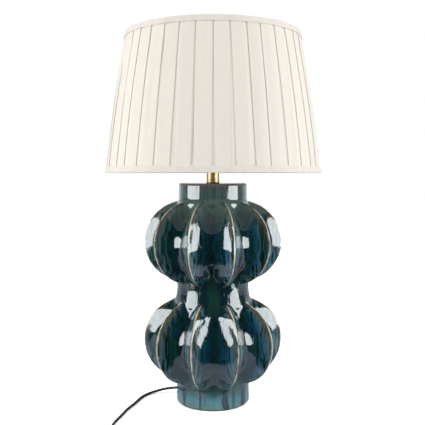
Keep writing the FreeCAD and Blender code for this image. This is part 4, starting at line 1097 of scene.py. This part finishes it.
def soft_box(name, side, stage):
    """Tall rounded light panel beside the lamp that shows only in glossy surfaces."""
    near, far = radians(stage.box_near), radians(stage.box_far)
    middle_z = between(stage.box_bottom, stage.box_top, 0.45)
    corners = []
    for step in range(BOX_CORNERS):
        turn = 2 * pi * step / BOX_CORNERS
        end_z, (side_power, end_power) = ((stage.box_top, BOX_TOP_POWERS) if sin(turn) > 0
                                          else (stage.box_bottom, BOX_BOTTOM_POWERS))
        flat = copysign(abs(cos(turn)) ** side_power, cos(turn))
        azimuth = (near + far) / 2 + flat * (far - near) / 2
        corners.append((side * stage.box_distance * sin(azimuth),
                        -stage.box_distance * cos(azimuth),
                        between(middle_z, end_z, abs(sin(turn)) ** end_power)))
    glow = bpy.data.materials.new(name)
    tree, surface = bare_tree(glow, "OutputMaterial")
    emission = add(tree, "Emission", {"Color": BOX_COLOUR, "Strength": stage.box_glow})
    feed(tree, surface, emission.outputs["Emission"])
    panel = stage_plane(name, corners, glow)
    for kind in ("camera", "diffuse", "transmission", "volume_scatter", "shadow"):
        setattr(panel, "visible_" + kind, False)


class LAMP_OT_stage(bpy.types.Operator):
    """White table, soft lamps and studio world"""
    bl_idname = "lamp.stage"
    bl_label = "Stage"

    def execute(self, context):
        stage = settings("lamp_stage")
        corners = [(x * FLOOR_REACH, y * FLOOR_REACH, 0)
                   for x, y in ((-1, -1), (1, -1), (1, 1), (-1, 1))]
        stage_plane("table", corners, floor_material(stage))
        context.scene.world = studio_world(stage)
        for name, side in (("left_box", -1), ("right_box", 1)):
            soft_box(name, side, stage)
            lamp = bpy.data.lights.new(name + "_lamp", "AREA")
            lamp.shape = "RECTANGLE"
            lamp.size, lamp.size_y = LAMP_SIZE
            lamp.energy = stage.lamp_power
            holder = new_object(name + "_lamp", lamp)
            holder.location = (side * LAMP_PLACE[0], *LAMP_PLACE[1:])
            aim = Vector(LAMP_AIM) - holder.location
            holder.rotation_euler = aim.to_track_quat("-Z", "Y").to_euler()
            holder.visible_glossy = False
        context.scene.view_settings.view_transform = "Standard"
        return {"FINISHED"}


# ---- add-on

class LAMP_PT_panel(bpy.types.Panel):
    """Buttons that build the lamp piece by piece"""
    bl_idname = "LAMP_PT_panel"
    bl_label = "Double gourd lamp"
    bl_space_type = "VIEW_3D"
    bl_region_type = "UI"
    bl_category = "Lamp"

    def draw(self, context):
        for step in STEPS:
            self.layout.operator(step.bl_idname)


STEPS = (LAMP_OT_camera, LAMP_OT_cord, LAMP_OT_gourds, LAMP_OT_shade, LAMP_OT_bands,
         LAMP_OT_shade_frame, LAMP_OT_metal, LAMP_OT_holder, LAMP_OT_bulb, LAMP_OT_stage)
GROUPS = {"lamp_camera": CameraSettings, "lamp_gourds": GourdSettings,
          "lamp_glaze": GlazeSettings, "lamp_shade": ShadeSettings,
          "lamp_cord": CordSettings, "lamp_stage": StageSettings}
KINDS = (*GROUPS.values(), *STEPS, LAMP_PT_panel)


def register():
    for kind in KINDS:
        bpy.utils.register_class(kind)
    for name, group in GROUPS.items():
        setattr(bpy.types.Scene, name, bpy.props.PointerProperty(type=group))


def unregister():
    for name in GROUPS:
        delattr(bpy.types.Scene, name)
    for kind in reversed(KINDS):
        bpy.utils.unregister_class(kind)


def main():
    register()
    make_running_group()
    make_weave_group()
    make_wear_group()
    bpy.ops.lamp.camera()
    bpy.ops.lamp.cord()
    bpy.ops.lamp.gourds()
    bpy.ops.lamp.shade()
    bpy.ops.lamp.bands()
    bpy.ops.lamp.shade_frame()
    bpy.ops.lamp.metal()
    bpy.ops.lamp.holder()
    bpy.ops.lamp.bulb()
    bpy.ops.lamp.stage()
    bpy.context.view_layer.update()


if __name__ == "__main__":
    main()
